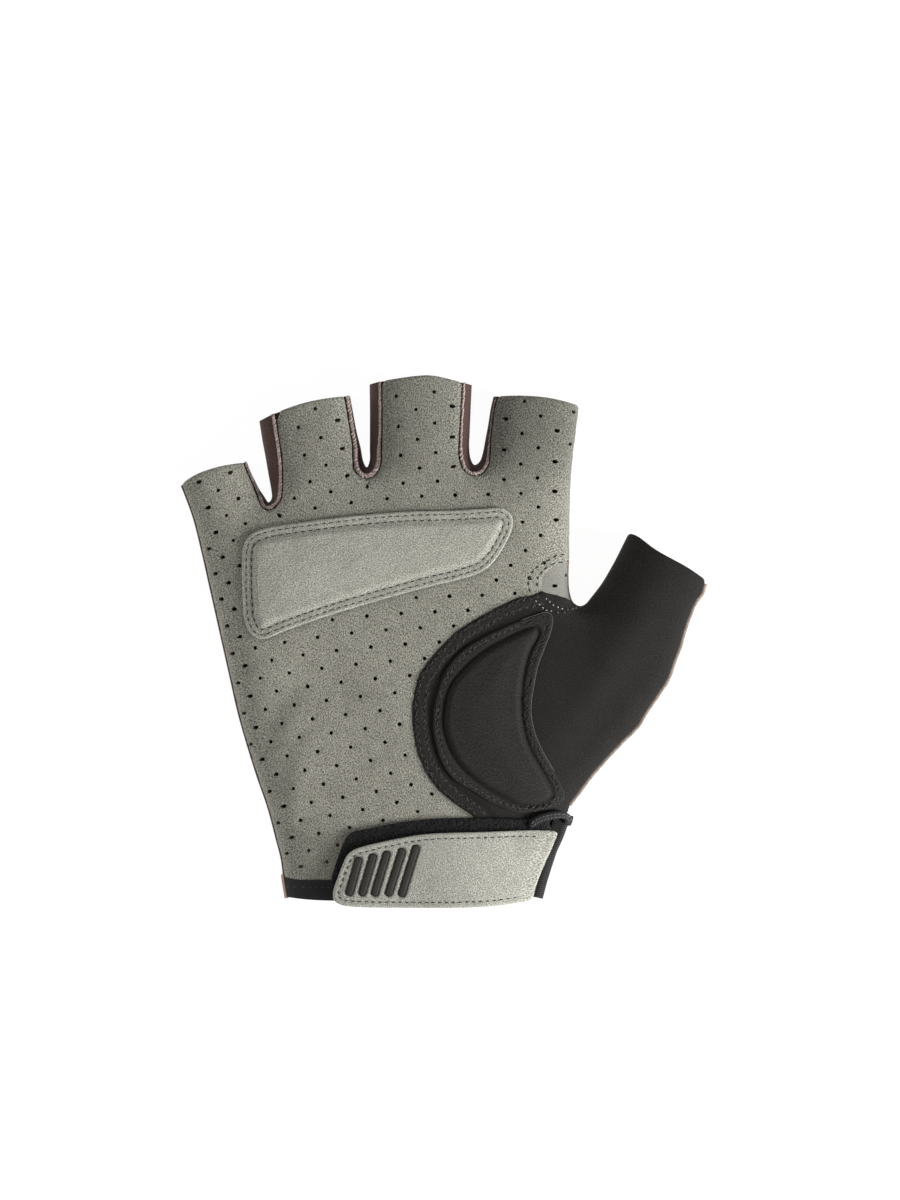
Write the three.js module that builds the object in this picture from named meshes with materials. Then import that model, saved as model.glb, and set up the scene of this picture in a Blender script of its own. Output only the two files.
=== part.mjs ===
import * as THREE from 'three';

// Short-fingered cycling glove for the right hand, lying on its back with the palm up.
// Millimetres. +Z up through the palm, +Y towards the finger ends, +X towards the thumb.

// ---- sizes -------------------------------------------------------------
const UNIT = 0.278;          // mm for one unit of the plan tables below
const PLAN_X = 444.01;       // plan unit that lies on X = 0
const PLAN_Y = 641.234;      // plan unit that lies on Y = 0 (plan y runs down)
const SEAM_Z = 7.5;          // height of the side seam above the surface it lies on
const FULL_RISE = 13;        // rise of a wide filled-out part above the side seam
const FIRMNESS = 0.082;      // 1/mm, how quickly the rise builds up from a side
const ROLL = 6;              // plan width of the rounded side
const EDGE_SCALE = 4;        // mm, width of the edge profile
const GRID = 1;              // mm, step of the height field
const WALL = 1.2;            // cloth and suede wall
const GAP = 0.3;             // clearance between separate pieces
const END_RUN = 20;          // mm, how far a finger's form is carried past its open end
const WRIST_RUN = 35;
const STATION = 4;         // mm between stations on long edges

// ---- plan tables: [x, y] in plan units -----------------------------------
const LEFT_SIDE = [[286, 898], [283, 880], [280.5, 860], [275.5, 840], [267, 808], [256, 776], [246, 744],
  [237, 712], [228, 672], [219, 632], [210, 592], [201, 552], [193, 520], [186, 500], [180.5, 486]];
const LITTLE_END = [[183, 482.5], [198, 474], [221, 466.5], [246, 462.2]];
const CROTCH_LITTLE_RING = [[248, 464], [251, 472], [255, 480], [259, 488], [265, 497], [268.5, 502], [271.5, 498],
  [271, 490], [268.5, 476], [265, 456], [262, 440], [259.5, 424]];
const RING_END = [[259.5, 421], [275, 413.6], [301, 404.4], [321, 399.8], [344.5, 396.5], [350, 396]];
const CROTCH_RING_MIDDLE = [[350.5, 397], [354, 416], [357, 432], [361, 448], [363.5, 461], [366.7, 467], [369.3, 461],
  [369.5, 448], [369.6, 432], [369.6, 408], [369.3, 386]];
const MIDDLE_END = [[369, 384.5], [381.5, 381.6], [420, 376.2], [433, 376.2], [463, 382.9], [472, 385]];
const CROTCH_MIDDLE_INDEX = [[472, 386], [471, 408], [470, 432], [469.5, 448], [471, 459], [474.5, 464.6], [479, 462],
  [482, 455], [485, 440], [488, 424], [490.5, 408], [493, 397.5]];
const INDEX_END = [[494, 396.5], [522, 396.1], [547, 398.1], [564, 401.5], [578.8, 405.6]];
const THUMB_CROTCH = [[579, 407], [577, 424], [574, 448], [571, 480], [570, 512], [569.5, 536], [569.5, 560],
  [569, 576], [570, 592], [573.5, 602], [579, 606], [585, 604], [591, 597], [601, 584], [606, 576], [615, 560], [623, 544], [628, 534]];
const THUMB_END = [[628.5, 532.8], [635.3, 535.3], [655.7, 550], [687.6, 567.8], [707.3, 581.2]];
const RIGHT_SIDE = [[707.5, 584.5], [704, 595], [698, 603], [692.7, 614.4], [686.5, 632], [682, 648], [677.3, 660],
  [670, 680], [660, 696], [649, 712], [639, 728], [623, 744], [608, 760], [594, 776], [582, 792], [571, 807],
  [564, 820], [558, 836], [551.5, 850], [546.5, 864], [541.5, 880], [537, 897]];
const CUFF_TOP = [[282.5, 876.5], [297.4, 879.4], [331.4, 879.6], [400, 879.6], [470, 879.6], [542, 879]];
const CUFF_END = [[286, 896.5], [310, 898.7], [336, 899.5], [400, 900], [470, 899.5], [537, 896.5]];

// thumb panel: inner edge from the crotch tip down to the wrist
const THUMB_PANEL_EDGE = [[542, 591.7], [532.8, 595.5], [516.3, 598.9], [484.7, 614.7], [458.7, 630.8], [441, 647.7],
  [429.3, 661.6], [420.5, 675], [414.7, 696.8], [413.5, 718], [416, 741], [421, 759], [429.3, 776], [442.5, 792],
  [458.7, 805], [473.5, 815.6], [484, 832], [491, 852], [494, 878]];
const THUMB_PANEL_TOP = [[542.3, 591.7], [548, 594.2], [555.7, 599.9], [562, 604.8], [569, 608], [577, 609.4], [584, 608]];
const CROTCH_PATCH_EDGE = [[567, 560], [560, 564], [551.9, 568], [545, 573.5], [541.6, 579], [541.8, 585], [542.3, 590.5]];

const PALM_PAD = [[243.5, 563.7], [243.5, 585.4], [244.5, 605], [246, 620], [252.5, 634], [263.4, 639], [285, 631], [328.4, 615.8],
  [371.8, 602.7], [426, 587.6], [469.3, 576.7], [484.5, 570.2], [495.4, 559.4], [506.2, 542], [512.2, 526], [511, 515.5],
  [501.9, 509], [480, 509.6], [456, 511], [404, 512.5], [350, 517], [306.7, 522.5], [263.4, 530], [250, 536.5], [244.4, 548]];
const THENAR_PAD = [[545.7, 612.6], [533, 615.8], [507.9, 625.2], [482.6, 637.5], [462.5, 650.5], [448, 667], [438.5, 689],
  [433.3, 713], [434, 735], [441, 760], [453, 778], [470, 789], [491, 802], [516.3, 811.5], [537.3, 810.4], [558.4, 804.1],
  [563.6, 797.8], [562.6, 789.4], [552, 768.4], [541.5, 749.4], [533.1, 728.4], [530.4, 707.3], [533.1, 686.3],
  [537.3, 665.2], [543.6, 648.4], [551, 627.3], [551, 615.8]];
const LOOP_PATCH = [[331.8, 885], [336.3, 865.5], [344.6, 845], [351.3, 836.7], [359, 831.5], [369.5, 828.6], [396.3, 822.6],
  [434.2, 817.8], [480.5, 816.9], [520, 817.6], [543, 819], [549, 826], [544, 840], [536, 858], [529, 874], [524, 889],
  [500, 894], [440, 895], [380, 894.5], [340, 892]];
const STRAP = [[335.5, 889.6], [340.5, 874.6], [344.6, 864.7], [348.8, 855.6], [355.4, 850.2], [366, 846], [377.8, 843],
  [396.3, 838.8], [425.7, 833.6], [480.5, 830.8], [541.5, 828.2], [551, 829.5], [547.5, 840], [540.5, 856], [534, 872],
  [529, 886], [526, 896.5], [513, 900.3], [496.6, 903.2], [470, 905.3], [417, 905.8], [352.9, 904.5], [342, 902.4], [336, 897.8]];
// strap bars: centre line from its upper to its lower end
const BARS = [
  { x0: 360, y0: 858, x1: 350, y1: 895.3 },
  { x0: 374.3, y0: 854.4, x1: 362.2, y1: 895.5 },
  { x0: 387.6, y0: 851.5, x1: 374.4, y1: 895.7 },
  { x0: 402.6, y0: 848.9, x1: 387.9, y1: 895.7 },
  { x0: 416.3, y0: 845.8, x1: 400.9, y1: 896.3 },
];
const BAR_WIDTH = 2.05;
const TAPE_ARCH = [[526, 826.2], [529, 820.5], [534, 815.5], [541, 812], [551, 810], [560, 809.4], [561.5, 813], [557, 820.5],
  [550, 825.2], [538, 826]];

// fourchette widths: plan inset of the palm seam from the outline at the first side, the bottom and the second side
const FOURCHETTES = [
  { name: 'fourchette_little_ring', edge: CROTCH_LITTLE_RING, first: 0.8, bottom: 2.2, second: 4.8 },
  { name: 'fourchette_ring_middle', edge: CROTCH_RING_MIDDLE, first: 1.5, bottom: 3.3, second: 3.4 },
  { name: 'fourchette_middle_index', edge: CROTCH_MIDDLE_INDEX, first: 2.6, bottom: 3.2, second: 1.0 },
];
const FOURCHETTE_UNDER = 2.5;   // how far the strip rolls under the side

// folds of the palm side: plan place, direction in degrees, half length, half width, height (all but the plan place in mm)
const FOLDS = [
  { x: 262, y: 742, turn: 62, half: 22, width: 3.4, height: -0.7 },
  { x: 292, y: 800, turn: 70, half: 16, width: 3.6, height: 0.7 },
  { x: 300, y: 690, turn: 15, half: 20, width: 6, height: -0.6 },
  { x: 380, y: 700, turn: -55, half: 22, width: 7, height: 0.8 },
  { x: 300, y: 505, turn: 10, half: 18, width: 4, height: -0.5 },
  { x: 425, y: 495, turn: 3, half: 20, width: 4, height: -0.6 },
  { x: 520, y: 480, turn: -8, half: 14, width: 4, height: -0.5 },
  { x: 600, y: 720, turn: 52, half: 26, width: 5, height: -0.8 },
  { x: 622, y: 640, turn: 60, half: 20, width: 6, height: 0.8 },
];

const COLORS = { suede: 0x9a998b, suedePatch: 0x93928a, microfibre: 0x2b2926, maroon: 0x4a3534, brown: 0x8a5f4b, tape: 0x141416, rubber: 0x45453c };

// ---- plan geometry ---------------------------------------------------------
const place = ([x, y]) => [(x - PLAN_X) * UNIT, (PLAN_Y - y) * UNIT];
const sub = (a, b) => [a[0] - b[0], a[1] - b[1]];
const add = (a, b, k = 1) => [a[0] + b[0] * k, a[1] + b[1] * k];
const len = (a) => Math.hypot(a[0], a[1]);
const unit = (a) => { const l = len(a) || 1; return [a[0] / l, a[1] / l]; };

function curve(table, closed = false) {
  const c = new THREE.CatmullRomCurve3(table.map((r) => { const p = place(r); return new THREE.Vector3(p[0], p[1], 0); }), closed, 'centripetal');
  c.arcLengthDivisions = 600;
  return c;
}
function walk(table, step, closed = false) {
  const c = curve(table, closed);
  const n = Math.max(2, Math.round(c.getLength() / step));
  const out = [];
  for (let i = 0; i < n + (closed ? 0 : 1); i++) { const v = c.getPointAt(i / n); out.push([v.x, v.y]); }
  return out;
}
// stations along an outline edge: point, inward direction (right of the run) and share of the length
function stations(table, step, shares = null) {
  const c = curve(table);
  const n = shares ? shares.length - 1 : Math.max(3, Math.round(c.getLength() / step));
  return Array.from({ length: n + 1 }, (_, i) => {
    const t = shares ? shares[i] : i / n, p = c.getPointAt(t), a = c.getPointAt(Math.max(0, t - 0.02)), b = c.getPointAt(Math.min(1, t + 0.02));
    const d = unit([b.x - a.x, b.y - a.y]);
    return { q: [p.x, p.y], n: [d[1], -d[0]], t };
  });
}

// side edges carried past the open ends
function extended(table, headRun, headLen, tailRun, tailLen) {
  const pts = walk(table, 1);
  const head = add(pts[0], unit(headRun), headLen), tail = add(pts[pts.length - 1], unit(tailRun), tailLen);
  return [head, ...pts, tail];
}
const AXIS = { little: [-0.33, 0.94], ring: [-0.17, 0.985], middle: [0.01, 1], index: [0.13, 0.99], thumb: [0.47, 0.88], wristLeft: [0.09, -1], wristRight: [-0.2, -1] };
const SIDES = [
  extended(LEFT_SIDE, AXIS.wristLeft, WRIST_RUN, AXIS.little, END_RUN),
  extended(CROTCH_LITTLE_RING, AXIS.little, END_RUN, AXIS.ring, END_RUN),
  extended(CROTCH_RING_MIDDLE, AXIS.ring, END_RUN, AXIS.middle, END_RUN),
  extended(CROTCH_MIDDLE_INDEX, AXIS.middle, END_RUN, AXIS.index, END_RUN),
  extended(THUMB_CROTCH, AXIS.index, END_RUN, AXIS.thumb, END_RUN),
  extended(RIGHT_SIDE, AXIS.thumb, END_RUN, AXIS.wristRight, WRIST_RUN),
];
const FIELD = SIDES.flat();
const SEGMENTS = SIDES.flatMap((s) => s.slice(1).map((b, i) => [s[i], b]));

function inside(p, poly) {
  let hit = false;
  for (let i = 0, j = poly.length - 1; i < poly.length; j = i++) {
    const a = poly[i], b = poly[j];
    if ((a[1] > p[1]) !== (b[1] > p[1]) && p[0] < ((b[0] - a[0]) * (p[1] - a[1])) / (b[1] - a[1]) + a[0]) hit = !hit;
  }
  return hit;
}
function nearest(p, segs) {
  let best = Infinity, q = null;
  for (const [a, b] of segs) {
    const dx = b[0] - a[0], dy = b[1] - a[1];
    const t = Math.min(1, Math.max(0, ((p[0] - a[0]) * dx + (p[1] - a[1]) * dy) / (dx * dx + dy * dy || 1)));
    const x = a[0] + dx * t, y = a[1] + dy * t, d = (p[0] - x) ** 2 + (p[1] - y) ** 2;
    if (d < best) { best = d; q = [x, y]; }
  }
  return { d: Math.sqrt(best), q };
}
const edgeSegments = (poly) => poly.map((a, i) => [a, poly[(i + 1) % poly.length]]);

// ---- height field: a screened membrane filled out from the sides ---------------
const lo = [Math.min(...FIELD.map((p) => p[0])) - 3, Math.min(...FIELD.map((p) => p[1])) - 3];
const hi = [Math.max(...FIELD.map((p) => p[0])) + 3, Math.max(...FIELD.map((p) => p[1])) + 3];
const NX = Math.ceil((hi[0] - lo[0]) / GRID) + 1, NY = Math.ceil((hi[1] - lo[1]) / GRID) + 1;
const rise = new Float64Array(NX * NY), ratio = new Float64Array(NX * NY), known = new Uint8Array(NX * NY);
const profile = (d) => EDGE_SCALE * (1 - Math.exp(-Math.max(0, d) / EDGE_SCALE));
{
  const live = [];
  const depth = new Float64Array(NX * NY);
  for (let j = 1; j < NY - 1; j++) for (let i = 1; i < NX - 1; i++) {
    const p = [lo[0] + i * GRID, lo[1] + j * GRID];
    if (inside(p, FIELD)) { live.push(j * NX + i); depth[j * NX + i] = nearest(p, SEGMENTS).d; }
  }
  const k2 = (FIRMNESS * GRID) ** 2, load = k2 * FULL_RISE ** 2;
  for (let pass = 0; pass < 420; pass++) for (const c of live) {
    const next = (rise[c - 1] + rise[c + 1] + rise[c - NX] + rise[c + NX] + load) / (4 + k2);
    rise[c] += 1.85 * (next - rise[c]);
  }
  for (const c of live) if (depth[c] >= 2) { ratio[c] = rise[c] / profile(depth[c]); known[c] = 1; }
  for (let pass = 0; pass < 7; pass++) {
    const add1 = [];
    for (let j = 1; j < NY - 1; j++) for (let i = 1; i < NX - 1; i++) {
      const c = j * NX + i;
      if (known[c]) continue;
      let s = 0, n = 0;
      for (const e of [c - 1, c + 1, c - NX, c + NX, c - NX - 1, c - NX + 1, c + NX - 1, c + NX + 1]) if (known[e]) { s += ratio[e]; n++; }
      if (n) add1.push([c, s / n]);
    }
    for (const [c, v] of add1) { ratio[c] = v; known[c] = 1; }
  }
}
function sampleRatio(x, y) {
  const fx = Math.min(NX - 2, Math.max(0, (x - lo[0]) / GRID)), fy = Math.min(NY - 2, Math.max(0, (y - lo[1]) / GRID));
  const i = Math.floor(fx), j = Math.floor(fy), a = fx - i, b = fy - j, c = j * NX + i;
  return (ratio[c] * (1 - a) + ratio[c + 1] * a) * (1 - b) + (ratio[c + NX] * (1 - a) + ratio[c + NX + 1] * a) * b;
}
const folds = FOLDS.map((f) => ({ ...f, c: place([f.x, f.y]), u: [Math.cos(f.turn * Math.PI / 180), Math.sin(f.turn * Math.PI / 180)] }));
function foldHeight(x, y) {
  let s = 0;
  for (const f of folds) {
    const dx = x - f.c[0], dy = y - f.c[1];
    const a = (dx * f.u[0] + dy * f.u[1]) / f.half, b = (-dx * f.u[1] + dy * f.u[0]) / f.width;
    s += f.height * Math.exp(-a * a - b * b);
  }
  return s;
}
function topAt(x, y) {
  const { d } = nearest([x, y], SEGMENTS);
  const u = Math.max(0, sampleRatio(x, y)) * profile(d);
  const calm = 1 - Math.exp(-((d / 5) ** 2));
  return SEAM_Z + Math.sqrt(u) + foldHeight(x, y) * calm;
}
function bottomAt(d) {
  const e = 1 - Math.min(d, ROLL) / ROLL;
  return SEAM_Z * (1 - Math.sqrt(Math.max(0, 1 - e * e)));
}
const rollIn = (s) => (s >= ROLL ? s : ROLL * (1 - Math.cos((Math.PI * s) / (2 * ROLL))));
const rollOut = (d) => (d >= ROLL ? d : ((2 * ROLL) / Math.PI) * Math.acos(1 - d / ROLL));

// surface point and outward normal for a plan point of the upper or lower sheet
function onTop(p) {
  const { d, q } = nearest(p, SEGMENTS);
  const z = topAt(p[0], p[1]), h = 0.25;
  const out = d > 1e-6 ? unit(sub(q, p)) : [0, 0];
  if (d < 0.35) {
    const g = sampleRatio(p[0], p[1]), w = 2 * (z - SEAM_Z), l = Math.hypot(g, w);
    return { p: [p[0], p[1], z], n: [(out[0] * g) / l, (out[1] * g) / l, w / l] };
  }
  const gx = (topAt(p[0] + h, p[1]) - topAt(p[0] - h, p[1])) / (2 * h), gy = (topAt(p[0], p[1] + h) - topAt(p[0], p[1] - h)) / (2 * h);
  const l = Math.hypot(gx, gy, 1);
  return { p: [p[0], p[1], z], n: [-gx / l, -gy / l, 1 / l] };
}
function onBottom(p) {
  const { d, q } = nearest(p, SEGMENTS);
  const z = bottomAt(d), out = d > 1e-6 ? unit(sub(q, p)) : [0, 0];
  if (d >= ROLL) return { p: [p[0], p[1], 0], n: [0, 0, -1] };
  const a = (ROLL - d) / (ROLL * ROLL), b = (SEAM_Z - z) / (SEAM_Z * SEAM_Z), l = Math.hypot(a, b);
  return { p: [p[0], p[1], z], n: [(out[0] * a) / l, (out[1] * a) / l, -b / l] };
}
// chart points: plan points with the rounded side spread out
function chart(p) {
  const { d, q } = nearest(p, SEGMENTS);
  return d >= ROLL || d < 1e-6 ? p : add(q, unit(sub(p, q)), rollOut(d));
}
function unchart(p) {
  const { d, q } = nearest(p, SEGMENTS);
  return d >= ROLL || d < 1e-6 ? p : add(q, unit(sub(p, q)), rollIn(d));
}
const liftTop = (p) => onTop(unchart(p));
const liftBottom = (p) => onBottom(unchart(p));
// point at a signed distance from an outline station: inwards over the top, negative rolls underneath
function rolled(st, v) {
  if (Math.abs(v) < 0.05) return { p: [st.q[0], st.q[1], SEAM_Z], n: [-st.n[0], -st.n[1], 0] };
  const p = add(st.q, st.n, rollIn(Math.abs(v)));
  return v >= 0 ? onTop(p) : onBottom(p);
}

// ---- meshes ---------------------------------------------------------------------
const glove = new THREE.Group();
glove.name = 'cycling_glove';
function piece(name, verts, tris, color) {
  const g = new THREE.BufferGeometry();
  g.setAttribute('position', new THREE.Float32BufferAttribute(verts.flat(), 3));
  g.setIndex(tris.flat());
  g.computeVertexNormals();
  const m = new THREE.Mesh(g, new THREE.MeshStandardMaterial({ color, roughness: 0.9, metalness: 0 }));
  m.name = name;
  glove.add(m);
  return m;
}
const area = (poly) => poly.reduce((s, a, i) => { const b = poly[(i + 1) % poly.length]; return s + a[0] * b[1] - b[0] * a[1]; }, 0) / 2;

const jitter = (i) => { const s = Math.sin(i * 127.1 + 3.7) * 43758.5453; return (s - Math.floor(s) - 0.5) * 0.12; };
// Delaunay triangles of scattered plan points
function delaunay(pts) {
  // a hair of scatter keeps evenly placed points from sharing one circle
  const P = pts.map((p, i) => [p[0] + jitter(i + 911) * 0.01, p[1] + jitter(i + 1733) * 0.01]), n = P.length, R = 4000;
  P.push([-R, -R], [R, -R], [0, R]);
  const circle = (t) => {
    const [a, b, c] = t.map((i) => P[i]);
    const d = 2 * (a[0] * (b[1] - c[1]) + b[0] * (c[1] - a[1]) + c[0] * (a[1] - b[1]));
    const A = a[0] ** 2 + a[1] ** 2, B = b[0] ** 2 + b[1] ** 2, C = c[0] ** 2 + c[1] ** 2;
    const x = (A * (b[1] - c[1]) + B * (c[1] - a[1]) + C * (a[1] - b[1])) / d, y = (A * (c[0] - b[0]) + B * (a[0] - c[0]) + C * (b[0] - a[0])) / d;
    return { t, x, y, r: (a[0] - x) ** 2 + (a[1] - y) ** 2 };
  };
  let T = [circle([n, n + 1, n + 2])];
  for (let i = 0; i < n; i++) {
    const bad = [], keep = [];
    for (const c of T) ((P[i][0] - c.x) ** 2 + (P[i][1] - c.y) ** 2 < c.r ? bad : keep).push(c);
    const open = new Map();
    for (const c of bad) for (let k = 0; k < 3; k++) {
      const a = c.t[k], b = c.t[(k + 1) % 3];
      if (open.has(b * 100000 + a)) open.delete(b * 100000 + a); else open.set(a * 100000 + b, [a, b]);
    }
    T = keep;
    for (const [a, b] of open.values()) T.push(circle([a, b, i]));
  }
  return T.map((c) => c.t).filter((t) => t.every((i) => i < n));
}
function between(a, b) {
  const m = [(a[0] + b[0]) / 2, (a[1] + b[1]) / 2];
  if (a.base && b.base) m.base = { p: a.base.p.map((v, k) => (v + b.base.p[k]) / 2), n: a.base.n.map((v, k) => (v + b.base.n[k]) / 2) };
  return m;
}
function fill(outline, spacing, rows) {
  let poly = area(outline) < 0 ? outline.slice().reverse() : outline.slice();
  const segs = edgeSegments(poly);
  const extra = [];
  const keepable = (p, room) => inside(p, poly) && nearest(p, segs).d > room && extra.every((e) => len(sub(e, p)) > room * 1.15);
  for (const depth of rows) for (const [a, b] of segs) {
    const m = [(a[0] + b[0]) / 2, (a[1] + b[1]) / 2], t = unit(sub(b, a)), p = add(m, [-t[1], t[0]], depth);
    if (inside(p, poly) && nearest(p, segs).d > depth * 0.9 && extra.every((e) => len(sub(e, p)) > Math.min(spacing * 0.6, 2.6))) extra.push(p);
  }
  const x0 = Math.min(...poly.map((p) => p[0])), x1 = Math.max(...poly.map((p) => p[0])), y0 = Math.min(...poly.map((p) => p[1])), y1 = Math.max(...poly.map((p) => p[1]));
  let row = 0;
  for (let y = y0; y < y1; y += spacing * 0.866, row++) for (let x = x0 + (row % 2 ? spacing / 2 : 0); x < x1; x += spacing) if (keepable([x, y], spacing * 0.55)) extra.push([x, y]);
  for (let tries = 0; tries < 12; tries++) {
    const pts = [...poly, ...extra].map((p, i) => [p[0] + (i < poly.length ? 0 : jitter(i)), p[1] + (i < poly.length ? 0 : jitter(i + 5000))]);
    const tris = delaunay(pts).filter((t) => {
      const c = [(pts[t[0]][0] + pts[t[1]][0] + pts[t[2]][0]) / 3, (pts[t[0]][1] + pts[t[1]][1] + pts[t[2]][1]) / 3];
      return inside(c, poly);
    }).map((t) => { const [a, b, c] = t.map((i) => pts[i]); return (b[0] - a[0]) * (c[1] - a[1]) - (b[1] - a[1]) * (c[0] - a[0]) < 0 ? [t[0], t[2], t[1]] : t; });
    const seen = new Set();
    for (const t of tris) for (let k = 0; k < 3; k++) seen.add(t[k] * 100000 + t[(k + 1) % 3]);
    const next = [];
    let split = 0;
    poly.forEach((p, i) => { next.push(p); const j = (i + 1) % poly.length; if (!seen.has(i * 100000 + j)) { next.push(between(p, poly[j])); split++; } });
    if (!split) return { pts, tris, rim: poly.length, poly };
    poly = next;
  }
  throw new Error('outline could not be filled');
}
// closed wall over a chart polygon, between two offsets along the surface normal
function wall(name, outline, { lift, outer, inner, spacing, rows = [], color, flip = false }) {
  const { pts, tris, rim, poly } = fill(outline, spacing, rows);
  const base = pts.map((p, i) => (i < rim && poly[i].base) || lift(p)), n = pts.length;
  const at = (b, o) => [b.p[0] + b.n[0] * o, b.p[1] + b.n[1] * o, b.p[2] + b.n[2] * o];
  const verts = [...base.map((b, i) => at(b, outer(pts[i]))), ...base.map((b, i) => at(b, inner(pts[i])))];
  const faces = [];
  for (const [a, b, c] of tris) { faces.push([a, b, c], [a + n, c + n, b + n]); }
  for (let i = 0; i < rim; i++) { const j = (i + 1) % rim; faces.push([i, i + n, j], [i + n, j + n, j]); }
  return piece(name, verts, flip ? faces.map(([a, b, c]) => [a, c, b]) : faces, color);
}
// closed strip or ring from a grid of surface points: rows[i][j], between two offsets
function strip(name, rows, outer, inner, color, ring = false) {
  const m = rows.length, w = rows[0].length, verts = [];
  const at = (b, o) => [b.p[0] + b.n[0] * o, b.p[1] + b.n[1] * o, b.p[2] + b.n[2] * o];
  rows.forEach((r, i) => { r.forEach((b, j) => verts.push(at(b, outer(i, j)))); r.forEach((b, j) => verts.push(at(b, inner(i, j)))); });
  const O = (i, j) => (i % m) * 2 * w + j, I = (i, j) => O(i, j) + w, faces = [];
  const quad = (a, b, c, d) => faces.push([a, b, c], [a, c, d]);
  for (let i = 0; i < (ring ? m : m - 1); i++) {
    for (let j = 0; j < w - 1; j++) { quad(O(i, j), O(i + 1, j), O(i + 1, j + 1), O(i, j + 1)); quad(I(i, j), I(i, j + 1), I(i + 1, j + 1), I(i + 1, j)); }
    quad(O(i, 0), I(i, 0), I(i + 1, 0), O(i + 1, 0));
    quad(O(i, w - 1), O(i + 1, w - 1), I(i + 1, w - 1), I(i, w - 1));
  }
  if (!ring) {
    for (let j = 0; j < w - 1; j++) { quad(O(0, j), O(0, j + 1), I(0, j + 1), I(0, j)); quad(O(m - 1, j), I(m - 1, j), I(m - 1, j + 1), O(m - 1, j + 1)); }
  }
  // outward check by signed volume
  let v = 0;
  for (const [a, b, c] of faces) { const A = verts[a], B = verts[b], C = verts[c]; v += A[0] * (B[1] * C[2] - B[2] * C[1]) - A[1] * (B[0] * C[2] - B[2] * C[0]) + A[2] * (B[0] * C[1] - B[1] * C[0]); }
  return piece(name, verts, v < 0 ? faces.map(([a, b, c]) => [a, c, b]) : faces, color);
}

// ---- edges of the panels in the chart ---------------------------------------------
// an inset edge keeps the exact surface point of each of its stations, so that neighbours on one seam stay parallel
const insetEdge = (sts, depth, under = false) => sts.map((s) => {
  const v = typeof depth === 'function' ? depth(s.t) : depth, p = add(s.q, s.n, v);
  p.base = rolled(s, under ? -v : v);
  return p;
});
const endCurve = (table, step = 3.8) => walk(table, step).slice(1, -1).map(chart);
const trimmed = (pts, segs, room) => pts.filter((p) => nearest(p, segs).d > room);
const seamSts = { left: stations(LEFT_SIDE, STATION), right: stations(RIGHT_SIDE, STATION) };
const forks = FOURCHETTES.map((f) => {
  // the bottom of the gap, and stations that close up towards it
  const probe = stations(f.edge, 0.6), mid = probe.reduce((m, s) => (s.q[1] < m.q[1] ? s : m)).t, length = curve(f.edge).getLength();
  const n1 = Math.round((length * mid) / 2.6) + 1, n2 = Math.round((length * (1 - mid)) / 2.6) + 1;
  const shares = [...Array.from({ length: n1 }, (_, i) => mid * (1 - (1 - i / n1) ** 1.5)), ...Array.from({ length: n2 + 1 }, (_, i) => mid + (1 - mid) * (i / n2) ** 1.5)];
  const sts = stations(f.edge, 0, shares);
  const width = (t) => rollOut(t < mid ? f.first + (f.bottom - f.first) * (t / mid) ** 3 : f.second + (f.bottom - f.second) * ((1 - t) / (1 - mid)) ** 3);
  return { ...f, sts, width };
});
// the thumb crotch edge is shared out between the palm, the small patch and the thumb
const crotchProbe = stations(THUMB_CROTCH, 0.4), crotchLength = curve(THUMB_CROTCH).getLength();
const patchStart = crotchProbe.find((s) => s.q[1] < place([0, 561])[1]).t, patchStop = crotchProbe.find((s) => s.t > 0.4 && s.q[0] > place([586, 0])[0]).t;
function crotchRun(t0, t1, step) {
  const n = Math.max(2, Math.round(((t1 - t0) * crotchLength) / step));
  return stations(THUMB_CROTCH, 0, Array.from({ length: n + 1 }, (_, i) => t0 + ((t1 - t0) * i) / n));
}
const CLEAR = 0.22 / crotchLength;
const SEAM = 0.17;   // half the chart gap on the side seams
const cuffTop = (share) => { const t = curve(CUFF_TOP).getPointAt(share); return [t.x, t.y]; };

const aboveCuff = (p) => p[1] > place([0, 876])[1] + 0.2;
const palmLower = walk(CUFF_TOP, 4).map((p) => [p[0], p[1] + 0.5]);
const thumbEdge = walk(THUMB_PANEL_EDGE, 3), thumbTop = walk(THUMB_PANEL_TOP, 2), patchEdge = walk(CROTCH_PATCH_EDGE, 2.4);
const shift = (pts, d) => pts.map((p, i) => { const a = pts[Math.max(0, i - 1)], b = pts[Math.min(pts.length - 1, i + 1)], t = unit(sub(b, a)); return add(p, [t[1], -t[0]], d); });
const toChart = (pts) => pts.map(chart);
const cleanLoop = (pts, tiny = 0.35) => pts.filter((p, i) => { const q = pts[(i + pts.length - 1) % pts.length]; return len(sub(p, q)) > tiny; });

const wristSeam = thumbEdge[thumbEdge.length - 1];
// palm panel: up the outer side, over the four finger ends and gaps, down the index side, along the patch and thumb panel
const palmOutline = cleanLoop([
  ...insetEdge(seamSts.left, SEAM).filter(aboveCuff),
  ...trimmed(endCurve(LITTLE_END), SEGMENTS, 2.2),
  ...insetEdge(forks[0].sts, (t) => forks[0].width(t) + GAP),
  ...trimmed(endCurve(RING_END), SEGMENTS, 1).filter((p) => p[0] > -45.5 && p[0] < -30),
  ...insetEdge(forks[1].sts, (t) => forks[1].width(t) + GAP),
  ...trimmed(endCurve(MIDDLE_END), SEGMENTS, 1).filter((p) => p[0] > -15 && p[0] < 2.6),
  ...insetEdge(forks[2].sts, (t) => forks[2].width(t) + GAP),
  ...trimmed(endCurve(INDEX_END), SEGMENTS, 2.2).filter((p) => p[0] > 17),
  ...insetEdge(crotchRun(0, patchStart - CLEAR, 3), SEAM),
  ...toChart(shift(patchEdge, GAP / 2)).filter((p) => p[0] < 32.6),
  ...toChart(shift(thumbEdge, GAP / 2)).slice(1).filter((p) => p[1] > wristSeam[1] + 1),
  ...palmLower.filter((p) => p[0] < wristSeam[0] - 1.2 && p[0] > -42).reverse(),
]);
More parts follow.
